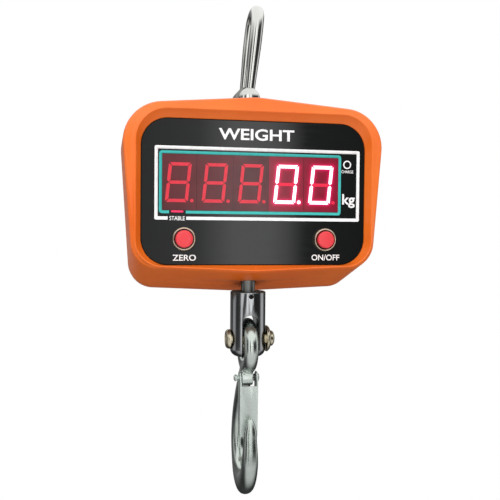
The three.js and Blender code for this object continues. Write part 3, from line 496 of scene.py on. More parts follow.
def circuit():
    s = Shader("circuit_board", srgb(24, 96, 52), 0.4)
    cells = s.node("TexVoronoi", Scale=420)
    s.link(s.stretched((1, 1, 1)), cells.inputs["Vector"])
    s.colour(cells.outputs["Distance"], [(0.1, srgb(20, 84, 44)), (0.6, srgb(38, 118, 66))])
    s.bump(cells.outputs["Distance"], 0.00005, 0.3)
    return s.material


# base, roughness, depth of the streaks, their grain and scale
METALS = {
    "polished_steel": (srgb(226, 227, 222), 0.1, 0.08, (1, 1, 0.15)),
    "chrome_plate": (srgb(168, 170, 172), 0.12, 0.5, (1, 1, 0.2), 260),
    "nickel_plate": (srgb(226, 216, 190), 0.24, 0.06),
    "latch_zinc": (srgb(236, 245, 239), 0.4, 0.15, (1, 1, 0.1), 200),
    "button_ring": (srgb(232, 214, 190), 0.22, 0.2),
    "load_cell_steel": (srgb(150, 152, 148), 0.34, 0.4, (1, 1, 0.3)),
    "black_oxide": (srgb(52, 50, 48), 0.4, 0.3),
    "spring_steel": (srgb(120, 120, 118), 0.3, 0.3),
    "screw_zinc": (srgb(196, 198, 200), 0.25, 0.3),
}
# base, roughness, scale of the grain
PLASTICS = {
    "button_red": (srgb(226, 50, 58), 0.3),
    "black_plastic": (srgb(28, 28, 29),),
    "cable_red": (srgb(170, 28, 30), 0.45),
    "rubber_seal": (srgb(26, 26, 27), 0.75, 300),
    "battery_wrap": (srgb(40, 66, 150), 0.32),
    "led_lens": (srgb(226, 196, 196), 0.15),
    "display_red": (srgb(90, 24, 34), 0.35),
}
MATERIALS = {name: polished(name, *values) for name, values in METALS.items()}
MATERIALS.update({name: plastic(name, *values) for name, values in PLASTICS.items()})
MATERIALS.update(orange_paint=orange_paint(), panel_acrylic=panel_black(), zinc_plate=cast_zinc(),
                 circuit_board=circuit())

# every CAD node gets its slot's material; fine pieces replace the ones that show
for row in frame["record"]["subparts"]:
    node = frame["nodes"][row["node"]]
    node.data.materials.clear()
    node.data.materials.append(MATERIALS[row["material_slot"]])

# ---------------- housing

HOUSE_W = 199
HOUSE_LOW_W = 184
HOUSE_TOP, HOUSE_PEAK, HOUSE_WAIST = 63.6, 71.8, 40
CREST_Y, CREST_W, CREST_TOP, CREST_LOW, CREST_V = -34, 180.5, 60.85, -54.5, 4.15
PEAK_R, CORNER_R, LOWER_R, V_R, CREST_R = 60, 30, 20, 40, 24
RIM_Y, RIM_INSET, RIM_ROUND = -31.5, 1.4, 3.4
SLOPE = 0.32                # how far the underside drops per millimetre towards the rear
SHELL_REAR, COVER_FRONT, COVER_REAR = 28, 29.8, 46
WALL = 3
GAP = 0.3                   # clearance between pieces
BUTTON_HOLE_R, NECK_HOLE_R = 6.3, 6.3
WELL_X, WELL_Y, WELL_Z, WELL_R = 18, 25, 56, 5
COVER_ROUND = 4
POST_R, SINK_R, SINK_DEPTH = 4.8, 3.5, 8
GASKET_H = 1.2
PANEL_Y = PANEL_LOW.y / MM
PANEL_T = (PANEL_HIGH.y - PANEL_LOW.y) / MM
PANEL_W = (PANEL_HIGH.x - PANEL_LOW.x) / MM
PANEL_H = (PANEL_HIGH.z - PANEL_LOW.z) / MM


def house_outline(y, inset):
    """The housing's outline at a depth; its underside slopes down towards the rear."""
    low = CREST_LOW - SLOPE * (y - CREST_Y) + inset
    taper = (HOUSE_W - HOUSE_LOW_W) / 2 / (HOUSE_WAIST - low)

    def side(z):
        return HOUSE_W / 2 - inset + (z - HOUSE_WAIST) * taper

    top = HOUSE_TOP - inset
    return mirrored([
        (0, HOUSE_PEAK - inset, PEAK_R),
        (side(top), top, CORNER_R - inset),
        (side(0), 0, 0),
        (side(low), low, LOWER_R - inset),
        (0, low - CREST_V, V_R),
    ])


def crest_outline(inset):
    """The sharp inner edge of the rim, which stands furthest forward."""
    half = CREST_W / 2 - inset
    low = CREST_LOW + inset
    return mirrored([
        (0, CREST_TOP - inset, 0),
        (half, CREST_TOP - inset - 0.01, CREST_R - inset),
        (half, 0, 0),
        (half, low, LOWER_R - inset),
        (0, low - CREST_V, V_R),
    ])


def panel_outline(inset, radius=20):
    half, tall = PANEL_W / 2 - inset, PANEL_H / 2 - inset
    return mirrored([
        (0, tall, 0),
        (half, tall, radius - inset),
        (half, 0, 0),
        (half, -tall, radius - inset),
        (0, -tall, 0),
    ])


def loft(name, sections):
    return skin(name, [[(x, y, z) for x, z in outline] for y, outline in sections], HOUSE)


def blend_outline(a, b, share):
    return [(x0 + (x1 - x0) * share, z0 + (z1 - z0) * share) for (x0, z0), (x1, z1) in zip(a, b)]


def shell_sections():
    """Sections of the front shell's outside, from the crest back to the rear edge."""
    crest = crest_outline(0)
    rim = house_outline(RIM_Y, RIM_INSET)
    sections = [(CREST_Y + 0.35, crest_outline(0.55)), (CREST_Y, crest_outline(0.2)),
                (CREST_Y + 0.25, blend_outline(crest, rim, 0.12))]
    sections += [(CREST_Y + 0.4 + 1.8 * s, blend_outline(crest, rim, s)) for s in (0.3, 0.5, 0.7, 0.85, 1)]
    # rounded outer edge of the rim
    for angle in arc(6)[1:]:
        y = RIM_Y + 0.2 + RIM_ROUND * (1 - math.cos(angle))
        sections.append((y, house_outline(y, RIM_INSET * (1 - math.sin(angle)))))
    for k in range(1, 9):
        y = -27.9 + (SHELL_REAR + 27.9) * k / 8
        sections.append((y, house_outline(y, 0)))
    return sections


def make_pocket():
    """The recess inside the rim, down to the ledge that the panel lies on."""
    sections = [(CREST_Y - 2, crest_outline(0.1)), (CREST_Y + 0.3, crest_outline(0.55))]
    inner = crest_outline(0.8)
    ledge = panel_outline(-GAP)
    for s in (0.05, 0.35, 0.65, 0.9, 1):
        y = CREST_Y + 0.6 + (PANEL_Y - CREST_Y - 0.6) * s ** 0.9
        sections.append((y, blend_outline(inner, ledge, s)))
    sections.append((PANEL_Y + PANEL_T + GAP, ledge))
    return loft("pocket", sections)


def make_front_shell():
    """The front shell; the openings and posts that the panel hides are left to the CAD."""
    shell = loft("front_shell_fine", shell_sections())
    front = PANEL_Y + PANEL_T + GAP + WALL
    combine(shell, loft("cavity", [(front, house_outline(front, WALL)),
                                   (SHELL_REAR + 1, house_outline(SHELL_REAR + 1, WALL))]))
    low = (-WELL_X - WALL, -WELL_Y - WALL, WELL_Z - WALL)
    combine(shell, block("well_wall", low, (WELL_X + WALL, SHELL_REAR - 0.01, 69.5), HOUSE), "UNION")
    combine(shell, make_pocket())
    combine(shell, loft_box("well", -WELL_X, WELL_X, -WELL_Y, WELL_Y, WELL_Z, 90, WELL_R))
    combine(shell, rod("neck_hole", "z", NECK_HOLE_R, -100, -50, HOUSE))
    bevel(shell, 0.5, 2, 40)
    return piece(shell, "scale_body", "orange_paint", "front_shell")


def loft_box(name, x0, x1, y0, y1, z0, z1, radius):
    """An upright box with rounded vertical edges."""
    outline = rounded_outline([(x0, y0, radius), (x1, y0, radius), (x1, y1, radius), (x0, y1, radius)], 8)
    return skin(name, [[(x, y, z) for x, y in outline] for z in (z0, z1)], HOUSE)


def make_rear_cover():
    edge = house_outline(SHELL_REAR, 0)
    rings = [(COVER_FRONT, house_outline(SHELL_REAR, 0.4)), (COVER_FRONT + 0.4, edge)]
    rings += [(COVER_FRONT + 4 + 2 * k, edge) for k in range(5)]
    for angle in arc(8)[1:]:
        y = COVER_REAR - COVER_ROUND + COVER_ROUND * math.sin(angle)
        rings.append((y, house_outline(SHELL_REAR, COVER_ROUND * (1 - math.cos(angle)))))
    cover = loft("rear_cover_fine", rings)
    combine(cover, loft("hollow", [(COVER_FRONT - 1, house_outline(SHELL_REAR, WALL)),
                                   (COVER_REAR - WALL, house_outline(SHELL_REAR, WALL + 1))]))
    for i in range(6):
        centre = middle(f"cover_screw_{i + 1}")
        at = Vector((centre.x, 0, centre.z))
        combine(cover, rod("post", "y", POST_R, COVER_FRONT + 0.1, COVER_REAR - 1.5, at), "UNION")
        combine(cover, rod("sink", "y", SINK_R, COVER_REAR - SINK_DEPTH, COVER_REAR + 1, at))
    jack = middle("charging_jack")
    combine(cover, rod("jack_hole", "x", 4.3, 80, 120, Vector((HOUSE.x, jack.y, jack.z))))
    shade(cover, 25)
    return piece(cover, "scale_body", "orange_paint", "rear_cover")


def make_gasket():
    rings = []
    for k, angle in enumerate(arc(8, 0, math.pi)):
        y = SHELL_REAR + GAP + GASKET_H * k / 8
        rings.append((y, house_outline(SHELL_REAR, 0.9 - 0.5 * math.sin(angle))))
    gasket = loft("shell_gasket_fine", rings)
    inner = house_outline(SHELL_REAR, 2.6)
    combine(gasket, loft("inside", [(SHELL_REAR - 1, inner), (SHELL_REAR + 3, inner)]))
    return piece(gasket, "scale_body", "rubber_seal", "shell_gasket")


# ---------------- panel and its print

INK = 0.06                  # thickness of the printed layers
INK_Y = PANEL_Y - 0.02


def make_panel():
    edge = 0.5
    panel = loft("front_panel_fine", [
        (PANEL_Y + PANEL_T, panel_outline(0)),
        (PANEL_Y + edge, panel_outline(0)),
        (PANEL_Y + edge * 0.3, panel_outline(edge * 0.3)),
        (PANEL_Y, panel_outline(edge)),
    ])
    for name in ("zero", "switch"):
        at = middle(f"{name}_button_ring")
        combine(panel, rod("hole", "y", BUTTON_HOLE_R, -40, 0, Vector((at.x, 0, at.z))))
    shade(panel, 6)
    return piece(panel, "scale_body", "panel_acrylic", "front_panel")


def flat_skin(name, outline, *depths):
    """A straight skin through one (x, z) outline at two depths."""
    return skin(name, [[(x, y, z) for x, z in outline] for y in depths], HOUSE)


def plate(name, outline, material, slot="panel_acrylic", depth=INK, front=None):
    """A thin printed plate on the panel, from an outline in millimetres."""
    top = (INK_Y if front is None else front) - depth
    return piece(flat_skin(name, outline, top + depth, top), "scale_body", slot, material=material)


def strip_frame(name, x0, x1, z0, z1, line, radius, material, gap=None):
    """A printed frame of even line width, with an optional gap in its bottom line."""
    def rect(inset, r):
        return rounded_outline([(x0 + inset, z0 + inset, r), (x1 - inset, z0 + inset, r),
                                (x1 - inset, z1 - inset, r), (x0 + inset, z1 - inset, r)], 8)
    frame_plate = flat_skin(name, rect(0, radius), INK_Y, INK_Y - INK)
    inner = rect(line, max(0.2, radius - line * 0.6))
    combine(frame_plate, flat_skin("inner", inner, INK_Y + 1, INK_Y - 1))
    if gap:
        low, high = (gap[0], INK_Y - 1, z0 - 1), (gap[1], INK_Y + 1, z0 + line + 1)
        combine(frame_plate, block("gap", low, high, HOUSE))
    return piece(frame_plate, "scale_body", "panel_acrylic", material=material)


def lettering(name, words, x, z, height, width, material, bold):
    """Generic raised lettering, centred on a point of the panel, fitted to a height and a width."""
    curve = bpy.data.curves.new(name, "FONT")
    curve.body = words
    curve.align_x = "CENTER"
    curve.align_y = "CENTER"
    curve.offset = bold
    curve.extrude = 0.02
    curve.resolution_u = 6
    obj = bpy.data.objects.new(name, curve)
    show(obj)
    mesh = bpy.data.meshes.new_from_object(obj.evaluated_get(bpy.context.evaluated_depsgraph_get()))
    bpy.data.objects.remove(obj)
    xs = [v.co.x for v in mesh.vertices]
    ys = [v.co.y for v in mesh.vertices]
    zs = [v.co.z for v in mesh.vertices]
    wide, tall = max(xs) - min(xs), max(ys) - min(ys)
    mid_x, mid_y = (max(xs) + min(xs)) / 2, (max(ys) + min(ys)) / 2
    for v in mesh.vertices:
        across = (v.co.x - mid_x) / wide * width
        up = (v.co.y - mid_y) / tall * height
        deep = INK_Y - INK * (v.co.z - min(zs)) / (max(zs) - min(zs))
        v.co = Vector((x + across, deep, z + up)) * MM + HOUSE
    made = bpy.data.objects.new(name, mesh)
    show(made)
    tidy_mesh(made)
    return piece(made, "scale_body", "panel_acrylic", material=material)


WHITE_INK = printed("white_ink", srgb(250, 250, 250))
TEAL_INK = printed("teal_ink", srgb(54, 184, 178))
WINDOW = (-70.4, 64.7, -13.6, 27.8)
DIGIT_SLANT = math.tan(math.radians(5.8))
DIGIT_H = 29.4
DIGIT_W = 17.0
DIGIT_PITCH, MODULE_GAP = 27.3, 0.12
DIGITS, FIRST_LIT = 5, 3    # the last two digits are lit
DOT_R = 1.35
STABLE_BAR = (-63.6, -54.6, -15.2, -13.9)
STROKE = 2.45
CLEFT = 0.28


# name, words, centre x and z, height, width, extra boldness
LETTERING = (
    ("title", "WEIGHT", 0.5, 43.8, 8.6, 58, 0.02),
    ("zero", "ZERO", -53.7, -48.8, 4.5, 17.4, 0.015),
    ("power", "ON/OFF", 55.2, -48.5, 4.5, 22.2, 0.015),
    ("unit", "kg", 73.2, -4.8, 10.6, 10.2, 0.02),
    ("charge", "CHARGE", 72, 17.7, 2.2, 9.6, 0.01),
    ("stable", "STABLE", -59.2, -19.6, 3.1, 11.4, 0.01),
)


def make_print():
    strip_frame("white_frame", -75.9, 81.8, -20.7, 33.8, 2.4, 1.2, WHITE_INK, (-66.2, -52.4))
    strip_frame("teal_frame", -72.6, 66.9, -16.0, 30.2, 2.1, 2.2, TEAL_INK, (-65.2, -52.8))
    for name, words, x, z, height, width, bold in LETTERING:
        lettering(f"{name}_lettering", words, x, z, height, width, WHITE_INK, bold)
    ring = [(3.2, INK_Y), (3.2, INK_Y - INK), (2.3, INK_Y - INK), (2.3, INK_Y)]
    charge = lathe("charge_ring", "y", ring, house_point(71.8, 23.1))
    piece(charge, "scale_body", "panel_acrylic", material=WHITE_INK)


# ---------------- digits


def segment_outlines(x, z):
    """The seven slanted segments of one digit, as (key, outline)."""
    half_w, half_h, s = DIGIT_W / 2 - STROKE / 2, DIGIT_H / 2 - STROKE / 2, STROKE / 2

    def slanted(points):
        return [(x + px + pz * DIGIT_SLANT, z + pz) for px, pz in points]

    def level(pz, outside):
        """A level segment; outside is 1 at the top, -1 at the bottom and 0 in the middle."""
        e, c = half_w - CLEFT, s
        if outside == 0:
            return [(-e, pz), (-e + c, pz + c), (e - c, pz + c), (e, pz), (e - c, pz - c), (-e + c, pz - c)]
        o = outside * s
        wide, narrow = e + s * 0.45, e - s * 0.9
        return [(-wide, pz + o), (wide, pz + o), (narrow, pz - o), (-narrow, pz - o)]

    def upright(side, top):
        """An upright segment in the upper (top = 1) or lower (top = -1) half."""
        px, o = side * half_w, side * s
        near, far = CLEFT * top, (half_h - CLEFT) * top
        return [(px, near), (px + o, near + s * top), (px + o, far + s * 0.5 * top), (px, far),
                (px - o, far - s * top), (px - o, near + s * top)]

    shapes = {"a": level(half_h, 1), "g": level(0, 0), "d": level(-half_h, -1), "f": upright(-1, 1),
              "b": upright(1, 1), "e": upright(-1, -1), "c": upright(1, -1)}
    return [(key, slanted(shape)) for key, shape in shapes.items()]


def segment_distance(px, pz, outline):
    """Distance from a point to an outline's nearest edge."""
    best = 1e9
    p = Vector((px, pz))
    for i, a in enumerate(outline):
        a, b = Vector(a), Vector(outline[(i + 1) % len(outline)])
        t = max(0, min(1, (p - a).dot(b - a) / max(1e-9, (b - a).length_squared)))
        best = min(best, (p - a.lerp(b, t)).length)
    return best


def glow_material():
    """The red module face: it glows where the 'glow' attribute says that a lit segment is near."""
    s = Shader("module_glow", srgb(96, 8, 30), 0.12)
    attribute = s.node("Attribute", attribute_name="glow")
    stops = [(0.0, srgb(104, 0, 30)), (0.25, srgb(150, 0, 46)), (0.6, srgb(226, 6, 84)),
             (1.0, srgb(255, 70, 150))]
    s.link(s.ramp(attribute.outputs["Fac"], stops), s.bsdf.inputs["Emission Color"])
    s.set("Emission Strength", 0.75)
    s.roughen(s.noise(200, 3), 0.1, 0.16)
    return s.material


def dot_outline(x, z, radius, sides=28):
    return [(x + radius * math.cos(2 * math.pi * k / sides), z + radius * math.sin(2 * math.pi * k / sides))
            for k in range(sides)]


def dark_face():
    """The dull face of a module that is not lit."""
    s = Shader("module_face", srgb(84, 30, 36), 0.14)
    s.colour(s.noise(30, 3), [(0.3, srgb(74, 26, 31)), (0.7, srgb(96, 36, 42))])
    s.roughen(s.noise(160, 4), 0.1, 0.18)
    return s.material


def make_digits():
    unlit = printed("segment_unlit", srgb(222, 48, 66), 0.2)
    dim = lit("segment_dim", srgb(214, 20, 62), 0.55, srgb(190, 20, 50))
    hot = lit("segment_lit", srgb(255, 244, 250), 1.25, srgb(255, 230, 240))
    dark = dark_face()
    glow = glow_material()
    x0, x1, z0, z1 = WINDOW
    half = DIGIT_PITCH / 2
    for i in range(DIGITS):
        centre = (middle(f"digit_module_{i + 1}") - HOUSE) / MM
        lit_up = i >= FIRST_LIT
        segments = segment_outlines(centre.x, centre.z)
        dot = dot_outline(centre.x + DIGIT_W / 2 + 1.5, centre.z - DIGIT_H / 2 + 1.3, DOT_R)
        bright = [(key, outline) for key, outline in segments if lit_up and key != "g"]
        if i == FIRST_LIT:
            bright.append(("dot", dot))
        left = x0 if i == 0 else centre.x - half + MODULE_GAP
        right = x1 if i == DIGITS - 1 else centre.x + half - MODULE_GAP
        face = face_grid(f"module_face_{i + 1}", left, right, z0, z1, bright)
        piece(face, "scale_body", "display_red", material=glow if lit_up else dark)
        bright_keys = [key for key, _ in bright]
        for key, outline in segments + [("dot", dot)]:
            material = hot if key in bright_keys else dim if lit_up else unlit
            plate(f"digit_{i + 1}_segment_{key}", outline, material, "display_red", INK, INK_Y - INK * 0.7)
    x0, x1, z0, z1 = STABLE_BAR
    outline = rounded_outline([(x0, z0, 0.5), (x1, z0, 0.5), (x1, z1, 0.5), (x0, z1, 0.5)], 4)
    stable = lit("stable_glow", srgb(235, 40, 100), 0.9, srgb(200, 30, 60))
    plate("stable_light", outline, stable, "display_red", INK, INK_Y - INK * 0.6)


def face_grid(name, x0, x1, z0, z1, bright, step=0.45):
    """A module's face plate; its front is a fine grid that carries the glow of the lit segments."""
    columns = max(2, round((x1 - x0) / step)) if bright else 2
    rows = max(2, round((z1 - z0) / step)) if bright else 2
    points, faces = [], []
    for layer in (INK_Y - INK * 0.6, INK_Y):
        for r in range(rows + 1):
            for c in range(columns + 1):
                points.append((x0 + (x1 - x0) * c / columns, layer, z0 + (z1 - z0) * r / rows))
    size = (rows + 1) * (columns + 1)
    for r in range(rows):
        for c in range(columns):
            a = r * (columns + 1) + c
            faces.append((a, a + 1, a + columns + 2, a + columns + 1))
            faces.append((a + size, a + size + columns + 1, a + size + columns + 2, a + size + 1))
    rim = ([c for c in range(columns + 1)]
           + [r * (columns + 1) + columns for r in range(1, rows + 1)]
           + [rows * (columns + 1) + c for c in range(columns - 1, -1, -1)]
           + [r * (columns + 1) for r in range(rows - 1, 0, -1)])
    for a, b in zip(rim, rim[1:] + rim[:1]):
        faces.append((a, a + size, b + size, b))
    obj = mesh_object(name, points, faces, HOUSE, smooth=False)
    values = []
    for v in obj.data.vertices:
        px, pz = (v.co.x - HOUSE.x) / MM, (v.co.z - HOUSE.z) / MM
        near = min((segment_distance(px, pz, o) for _, o in bright), default=99)
        values.append(math.exp(-near / 1.3) * 0.9 + 0.1 * math.exp(-near / 4))
    attribute = obj.data.attributes.new("glow", "FLOAT", "POINT")
    attribute.data.foreach_set("value", values)
    return obj


# ---------------- buttons


BUTTON_TRAVEL = 1.5


def make_button(name):
    at = middle(f"{name}_button_ring")
    origin = Vector((at.x, 0, at.z))
    face = PANEL_Y - GAP
    ring = lathe(f"{name}_ring_fine", "y", [
        (7.4, face), (8.8, face), (8.8, face - 1.9), (8.62, face - 2.5), (8.2, face - 2.95),
        (7.9, face - 3.1), (7.62, face - 3.05), (7.42, face - 2.8), (7.4, face - 2.4),
    ], origin, 96)
    piece(ring, "scale_body", "button_ring", f"{name}_button_ring")
    cap_back = face - GAP - BUTTON_TRAVEL
    cap = lathe(f"{name}_cap_fine", "y", [
        (0, -14.5), (4, -14.5), (4, cap_back), (6.5, cap_back), (6.5, cap_back - 2.2), (6.4, cap_back - 2.7),
        (6.1, cap_back - 3.1), (5.6, cap_back - 3.3), (4.6, cap_back - 3.42), (3, cap_back - 3.48),
        (0, cap_back - 3.5),
    ], origin, 96)
    red = cap_material(name, origin)
    return piece(cap, f"{name}_button", "button_red", f"{name}_button_cap", material=red)


def cap_material(name, origin):
    """Glossy red with a faint turned grain about the cap's own axis."""
    s = Shader(f"{name}_cap_red", srgb(226, 50, 58), 0.28, Coat_Weight=0.4, Coat_Roughness=0.08)
    mapping = s.node("Mapping")
    mapping.inputs["Location"].default_value = (-origin.x, 0, -origin.z)
    s.link(s.coords, mapping.inputs["Vector"])
    wave = s.node("TexWave", wave_type="RINGS", rings_direction="Y", Scale=900, Distortion=1.5)
    s.link(mapping.outputs["Vector"], wave.inputs["Vector"])
    s.colour(wave.outputs["Fac"], [(0.0, srgb(218, 44, 52)), (1.0, srgb(234, 62, 70))])
    s.roughen(wave.outputs["Fac"], 0.22, 0.36, 0, 1)
    s.bump(wave.outputs["Fac"], 0.00003, 0.5)
    return s.material


# ---------------- shackle


BOW_REACH, BOW_HALF, BOW_CROWN = -65, 12.5, 5
BOW_EYE_HALF, BOW_HOLE_R = 3.2, 4.3


def make_shackle():
    half = BOW_HALF
    knee = BOW_CROWN - half
    points = [(-half, BOW_REACH + 4), (-half, BOW_REACH * 0.75), (-half, BOW_REACH * 0.5), (-half, knee - 5),
              (-half * 0.92, knee + half * 0.39), (-half * 0.7, knee + half * 0.72),
              (-half * 0.36, knee + half * 0.94), (0, BOW_CROWN)]
    points += [(-y, z) for y, z in reversed(points[:-1])]
    radius = eased([(0, 3.8), (0.3, 5), (0.7, 5), (1, 3.8)])
    bow = bar("shackle_bow_fine", points, radius, radius, Vector(), 180, 40, matrix=SHACKLE)
    at = Vector((0, 0, BOW_REACH)) * MM
    thick = BOW_EYE_HALF
    eye = [(0, -thick), (7.3, -thick), (8, -2.5), (8, 2.5), (7.3, thick), (0, thick)]
    for side in (-half, half):
        combine(bow, lathe("eye", "y", eye, Vector((0, side, BOW_REACH)) * MM, 64, SHACKLE), "UNION")
        face = side + math.copysign(BOW_EYE_HALF, side)
        ends = sorted((face, face + math.copysign(5, side)))
        spot = [(0, ends[0]), (7.8, ends[0]), (7.8, ends[1]), (0, ends[1])]
        combine(bow, lathe("spot", "y", spot, at, 64, SHACKLE))
    hole = [(0, -30), (BOW_HOLE_R, -30), (BOW_HOLE_R, 30), (0, 30)]
    combine(bow, lathe("hole", "y", hole, at, 48, SHACKLE))
    bevel(bow, 0.5, 3, 35)
    piece(bow, "shackle", "polished_steel", "shackle_bow")
    make_shackle_pin(at)
    make_nut("shackle_nut", "y", 12.5, BOW_HOLE_R, "shackle", "zinc_plate")


def make_shackle_pin(at):
    outer = BOW_HALF + BOW_EYE_HALF + GAP
    dome = [(7.5 * math.cos(a), -outer - 1.5 - 3.5 * math.sin(a)) for a in arc(12)[:-1]]
    pin = lathe("shackle_pin_fine", "y", [(0, 24.3), (3.4, 24.3), (4, 23.7), (4, -outer), (7.3, -outer),
                                         (7.5, -outer - 0.2), *dome, (0, -outer - 5)], at, 72, SHACKLE)
    piece(pin, "shackle", "polished_steel", "shackle_pin")


def make_nut(node, axis, flats, bore, body, slot_name):
    """A chamfered hexagon nut in place of a CAD nut."""
    low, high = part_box(node)
    at = (low + high) / 2
    k = "xyz".index(axis)
    half = (high[k] - low[k]) / 2 / MM
    corner = flats / 2 / math.cos(math.pi / 6)
    nut = lathe(node + "_fine", axis, [(bore, -half), (corner, -half), (corner, half), (bore, half)], at, 6)
    cone = [(bore - 1, -half - 0.01), (flats / 2, -half - 0.01), (corner + 0.1, -half + 0.9),
            (corner + 0.1, half - 0.9), (flats / 2, half + 0.01), (bore - 1, half + 0.01)]
    combine(nut, lathe("cone", axis, cone, at, 64), "INTERSECT")
    combine(nut, rod("bore", axis, bore, -half - 1, half + 1, at, 48))
    shade(nut, 25)
    return piece(nut, body, slot_name, node)


# ---------------- clevis and its pin


CLEVIS_R, CLEVIS_CORNER = 14, 6
SLOT_HALF, SLOT_TOP = 6.6, -94.3


def make_clevis():
    low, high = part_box("clevis")
    top, bottom = (high.z - HOUSE.z) / MM, (low.z - HOUSE.z) / MM
    r, corner = CLEVIS_R, CLEVIS_CORNER
    profile = [(0, bottom)]
    profile += [(r - corner + corner * math.sin(a), bottom + corner - corner * math.cos(a)) for a in arc(10)]
    profile += [(r, top - 1.0), (r - 0.3, top - 0.3), (r - 1.0, top), (0, top)]
    clevis = lathe("clevis_fine", "z", profile, HOUSE, 96)
    pin_z = (HOOK_PIN.z - HOUSE.z) / MM
    arch = SLOT_TOP - SLOT_HALF
    combine(clevis, block("slot", (-SLOT_HALF, -20, bottom - 2), (SLOT_HALF, 20, arch), HOUSE))
    combine(clevis, rod("arch", "y", SLOT_HALF, -20, 20, house_point(0, arch), 64))
    combine(clevis, rod("bore", "z", 5.8, -89, top + 2, HOUSE, 48))
    combine(clevis, rod("cross", "x", 5.3, -20, 20, house_point(0, pin_z), 48))
    combine(clevis, rod("lock", "y", 1.9, -20, 0, house_point(0, top - 3.4), 32))
    bevel(clevis, 0.6, 3, 35)
    piece(clevis, "scale_body", "chrome_plate", "clevis")


def make_clevis_pin():
    """The hook's pin with its large domed head, and the nut on its other end."""
    head = CLEVIS_R + GAP
    dome = [(6.2 * math.cos(a), head + 4.6 + 2.8 * math.sin(a)) for a in arc(10)[:-1]]
    pin = lathe("clevis_pin_fine", "x", [
        (0, -head - 3), (4.6, -head - 3), (5, -head - 2.6), (5, head), (10.2, head), (10.5, head + 0.5),
        (10.3, head + 1.4), (9.2, head + 2.6), (7.4, head + 3.4), (6.4, head + 3.7), *dome, (0, head + 7.4),
    ], HOOK_PIN, 72)
    piece(pin, "scale_body", "nickel_plate", "clevis_pin")
    nut = lathe("clevis_pin_nut_fine", "x", [
        (5.3, -head), (7.6, -head), (7.8, -head - 0.3), (7.7, -head - 1.4), (7.1, -head - 2.5),
        (6.3, -head - 3.2), (5.3, -head - 3.4),
    ], HOOK_PIN, 72)
    piece(nut, "scale_body", "nickel_plate", "clevis_pin_nut")


CELL_HALF = (24, 9.5, 32)


def make_load_cell():
    """The S beam with its upper lug, and the stud that shows under the housing."""
    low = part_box("load_cell")[0]
    stud_end = (low.z - HOUSE.z) / MM
    eye_z = (BOW_PIN.z - HOUSE.z) / MM
    eye_x = (BOW_PIN.x - HOUSE.x) / MM
    w, t, h = CELL_HALF
    cell = block("load_cell_fine", (-w, -t, -h), (w, t, h), HOUSE)
    combine(cell, block("upper_slot", (-w - 1, -12, 10), (w - 11, 12, 15), HOUSE))
    combine(cell, block("lower_slot", (11 - w, -12, -15), (w + 1, 12, -10), HOUSE))
    combine(cell, block("lug", (eye_x - 10, -8, 31), (eye_x + 10, 8, eye_z), HOUSE), "UNION")
    combine(cell, rod("lug_eye", "y", 10, -8, 8, house_point(eye_x, eye_z), 64), "UNION")
    combine(cell, rod("lug_hole", "y", 4.4, -12, 12, house_point(eye_x, eye_z), 48))
    profile = [(0, stud_end), (4.5, stud_end), (5.5, stud_end + 1), (5.5, 1 - h), (0, 1 - h)]
    combine(cell, lathe("stud", "z", profile, HOUSE, 64), "UNION")
    bevel(cell, 0.4, 2, 40)
    return piece(cell, "scale_body", "load_cell_steel", "load_cell")


# ---------------- hook and latch


HOOK_WIRE, HOOK_EYE_HOLE_R, HOOK_PIN_R = 5.6, 11, 5
HOOK_EYE_R = HOOK_EYE_HOLE_R + HOOK_WIRE
HOOK_EYE_Z = -(HOOK_EYE_HOLE_R - HOOK_PIN_R - GAP)
TIP_FROM = 0.93             # the share of the hook's length where its tip starts to round off
LATCH_BORE_R = 2.1
LATCH_AT = Vector((HOOK_PIN.x, LATCH_PIN.y, LATCH_PIN.z))


def hook_bar():
    """The forged bar, from under the eye round the bowl to the tip, in (y, z) below the pin."""
    foot = HOOK_EYE_Z - HOOK_EYE_R
    drops = [(1, 1), (9, -10), (22, -26), (33, -45), (37.5, -64), (35, -79), (26, -91), (12, -95.5),
             (-2, -91), (-11, -81), (-14.6, -67), (-15, -51), (-14.4, -37.5)]
    points = [(y, foot + drop) for y, drop in drops]
    depth = eased([(0, 5.6), (0.2, 6.4), (0.4, 7.4), (0.62, 10.2), (0.8, 7.6), (TIP_FROM, 5), (1, 4.2)])
    width = eased([(0, 5.4), (0.2, 5.7), (0.45, 5.9), (0.62, 6.6), (0.8, 6.4), (TIP_FROM, 5.1), (1, 3.8)])

    def tip(t):
        return math.sqrt(max(0.004, 1 - max(0, (t - TIP_FROM) / 0.07) ** 2))

    return bar("hook_fine", points, lambda t: depth(t) * tip(t), lambda t: width(t) * tip(t), HOOK_PIN,
               220, 48, 0.85)


def hook_eye():
    """The round eye that hangs on the clevis pin."""
    section = arc(40, 0, 2 * math.pi)[:-1]
    rings = []
    for a in arc(96, 0, 2 * math.pi)[:-1]:
        ring = []
        for b in section:
            reach = HOOK_EYE_R + HOOK_WIRE * math.cos(b)
            ring.append((HOOK_WIRE * math.sin(b), reach * math.cos(a), HOOK_EYE_Z + reach * math.sin(a)))
        rings.append(ring)
    return skin("eye", rings + [rings[0]], HOOK_PIN, close_ends=False)


def make_hook():
    body = hook_bar()
    combine(body, hook_eye(), "UNION")
    combine(body, rod("lug", "x", 6, -5.6, 3.3, LATCH_AT, 64), "UNION")
    remesh = body.modifiers.new("remesh", "REMESH")
    remesh.mode = "VOXEL"
    remesh.voxel_size = 0.55 * MM
    soften = body.modifiers.new("soften", "SMOOTH")
    soften.factor = 0.5
    soften.iterations = 6
    apply_modifiers(body)
    combine(body, rod("pin_hole", "x", LATCH_BORE_R, -10, 10, LATCH_AT, 32))
    shade(body, 50)
    return piece(body, "hook", "zinc_plate", "hook")


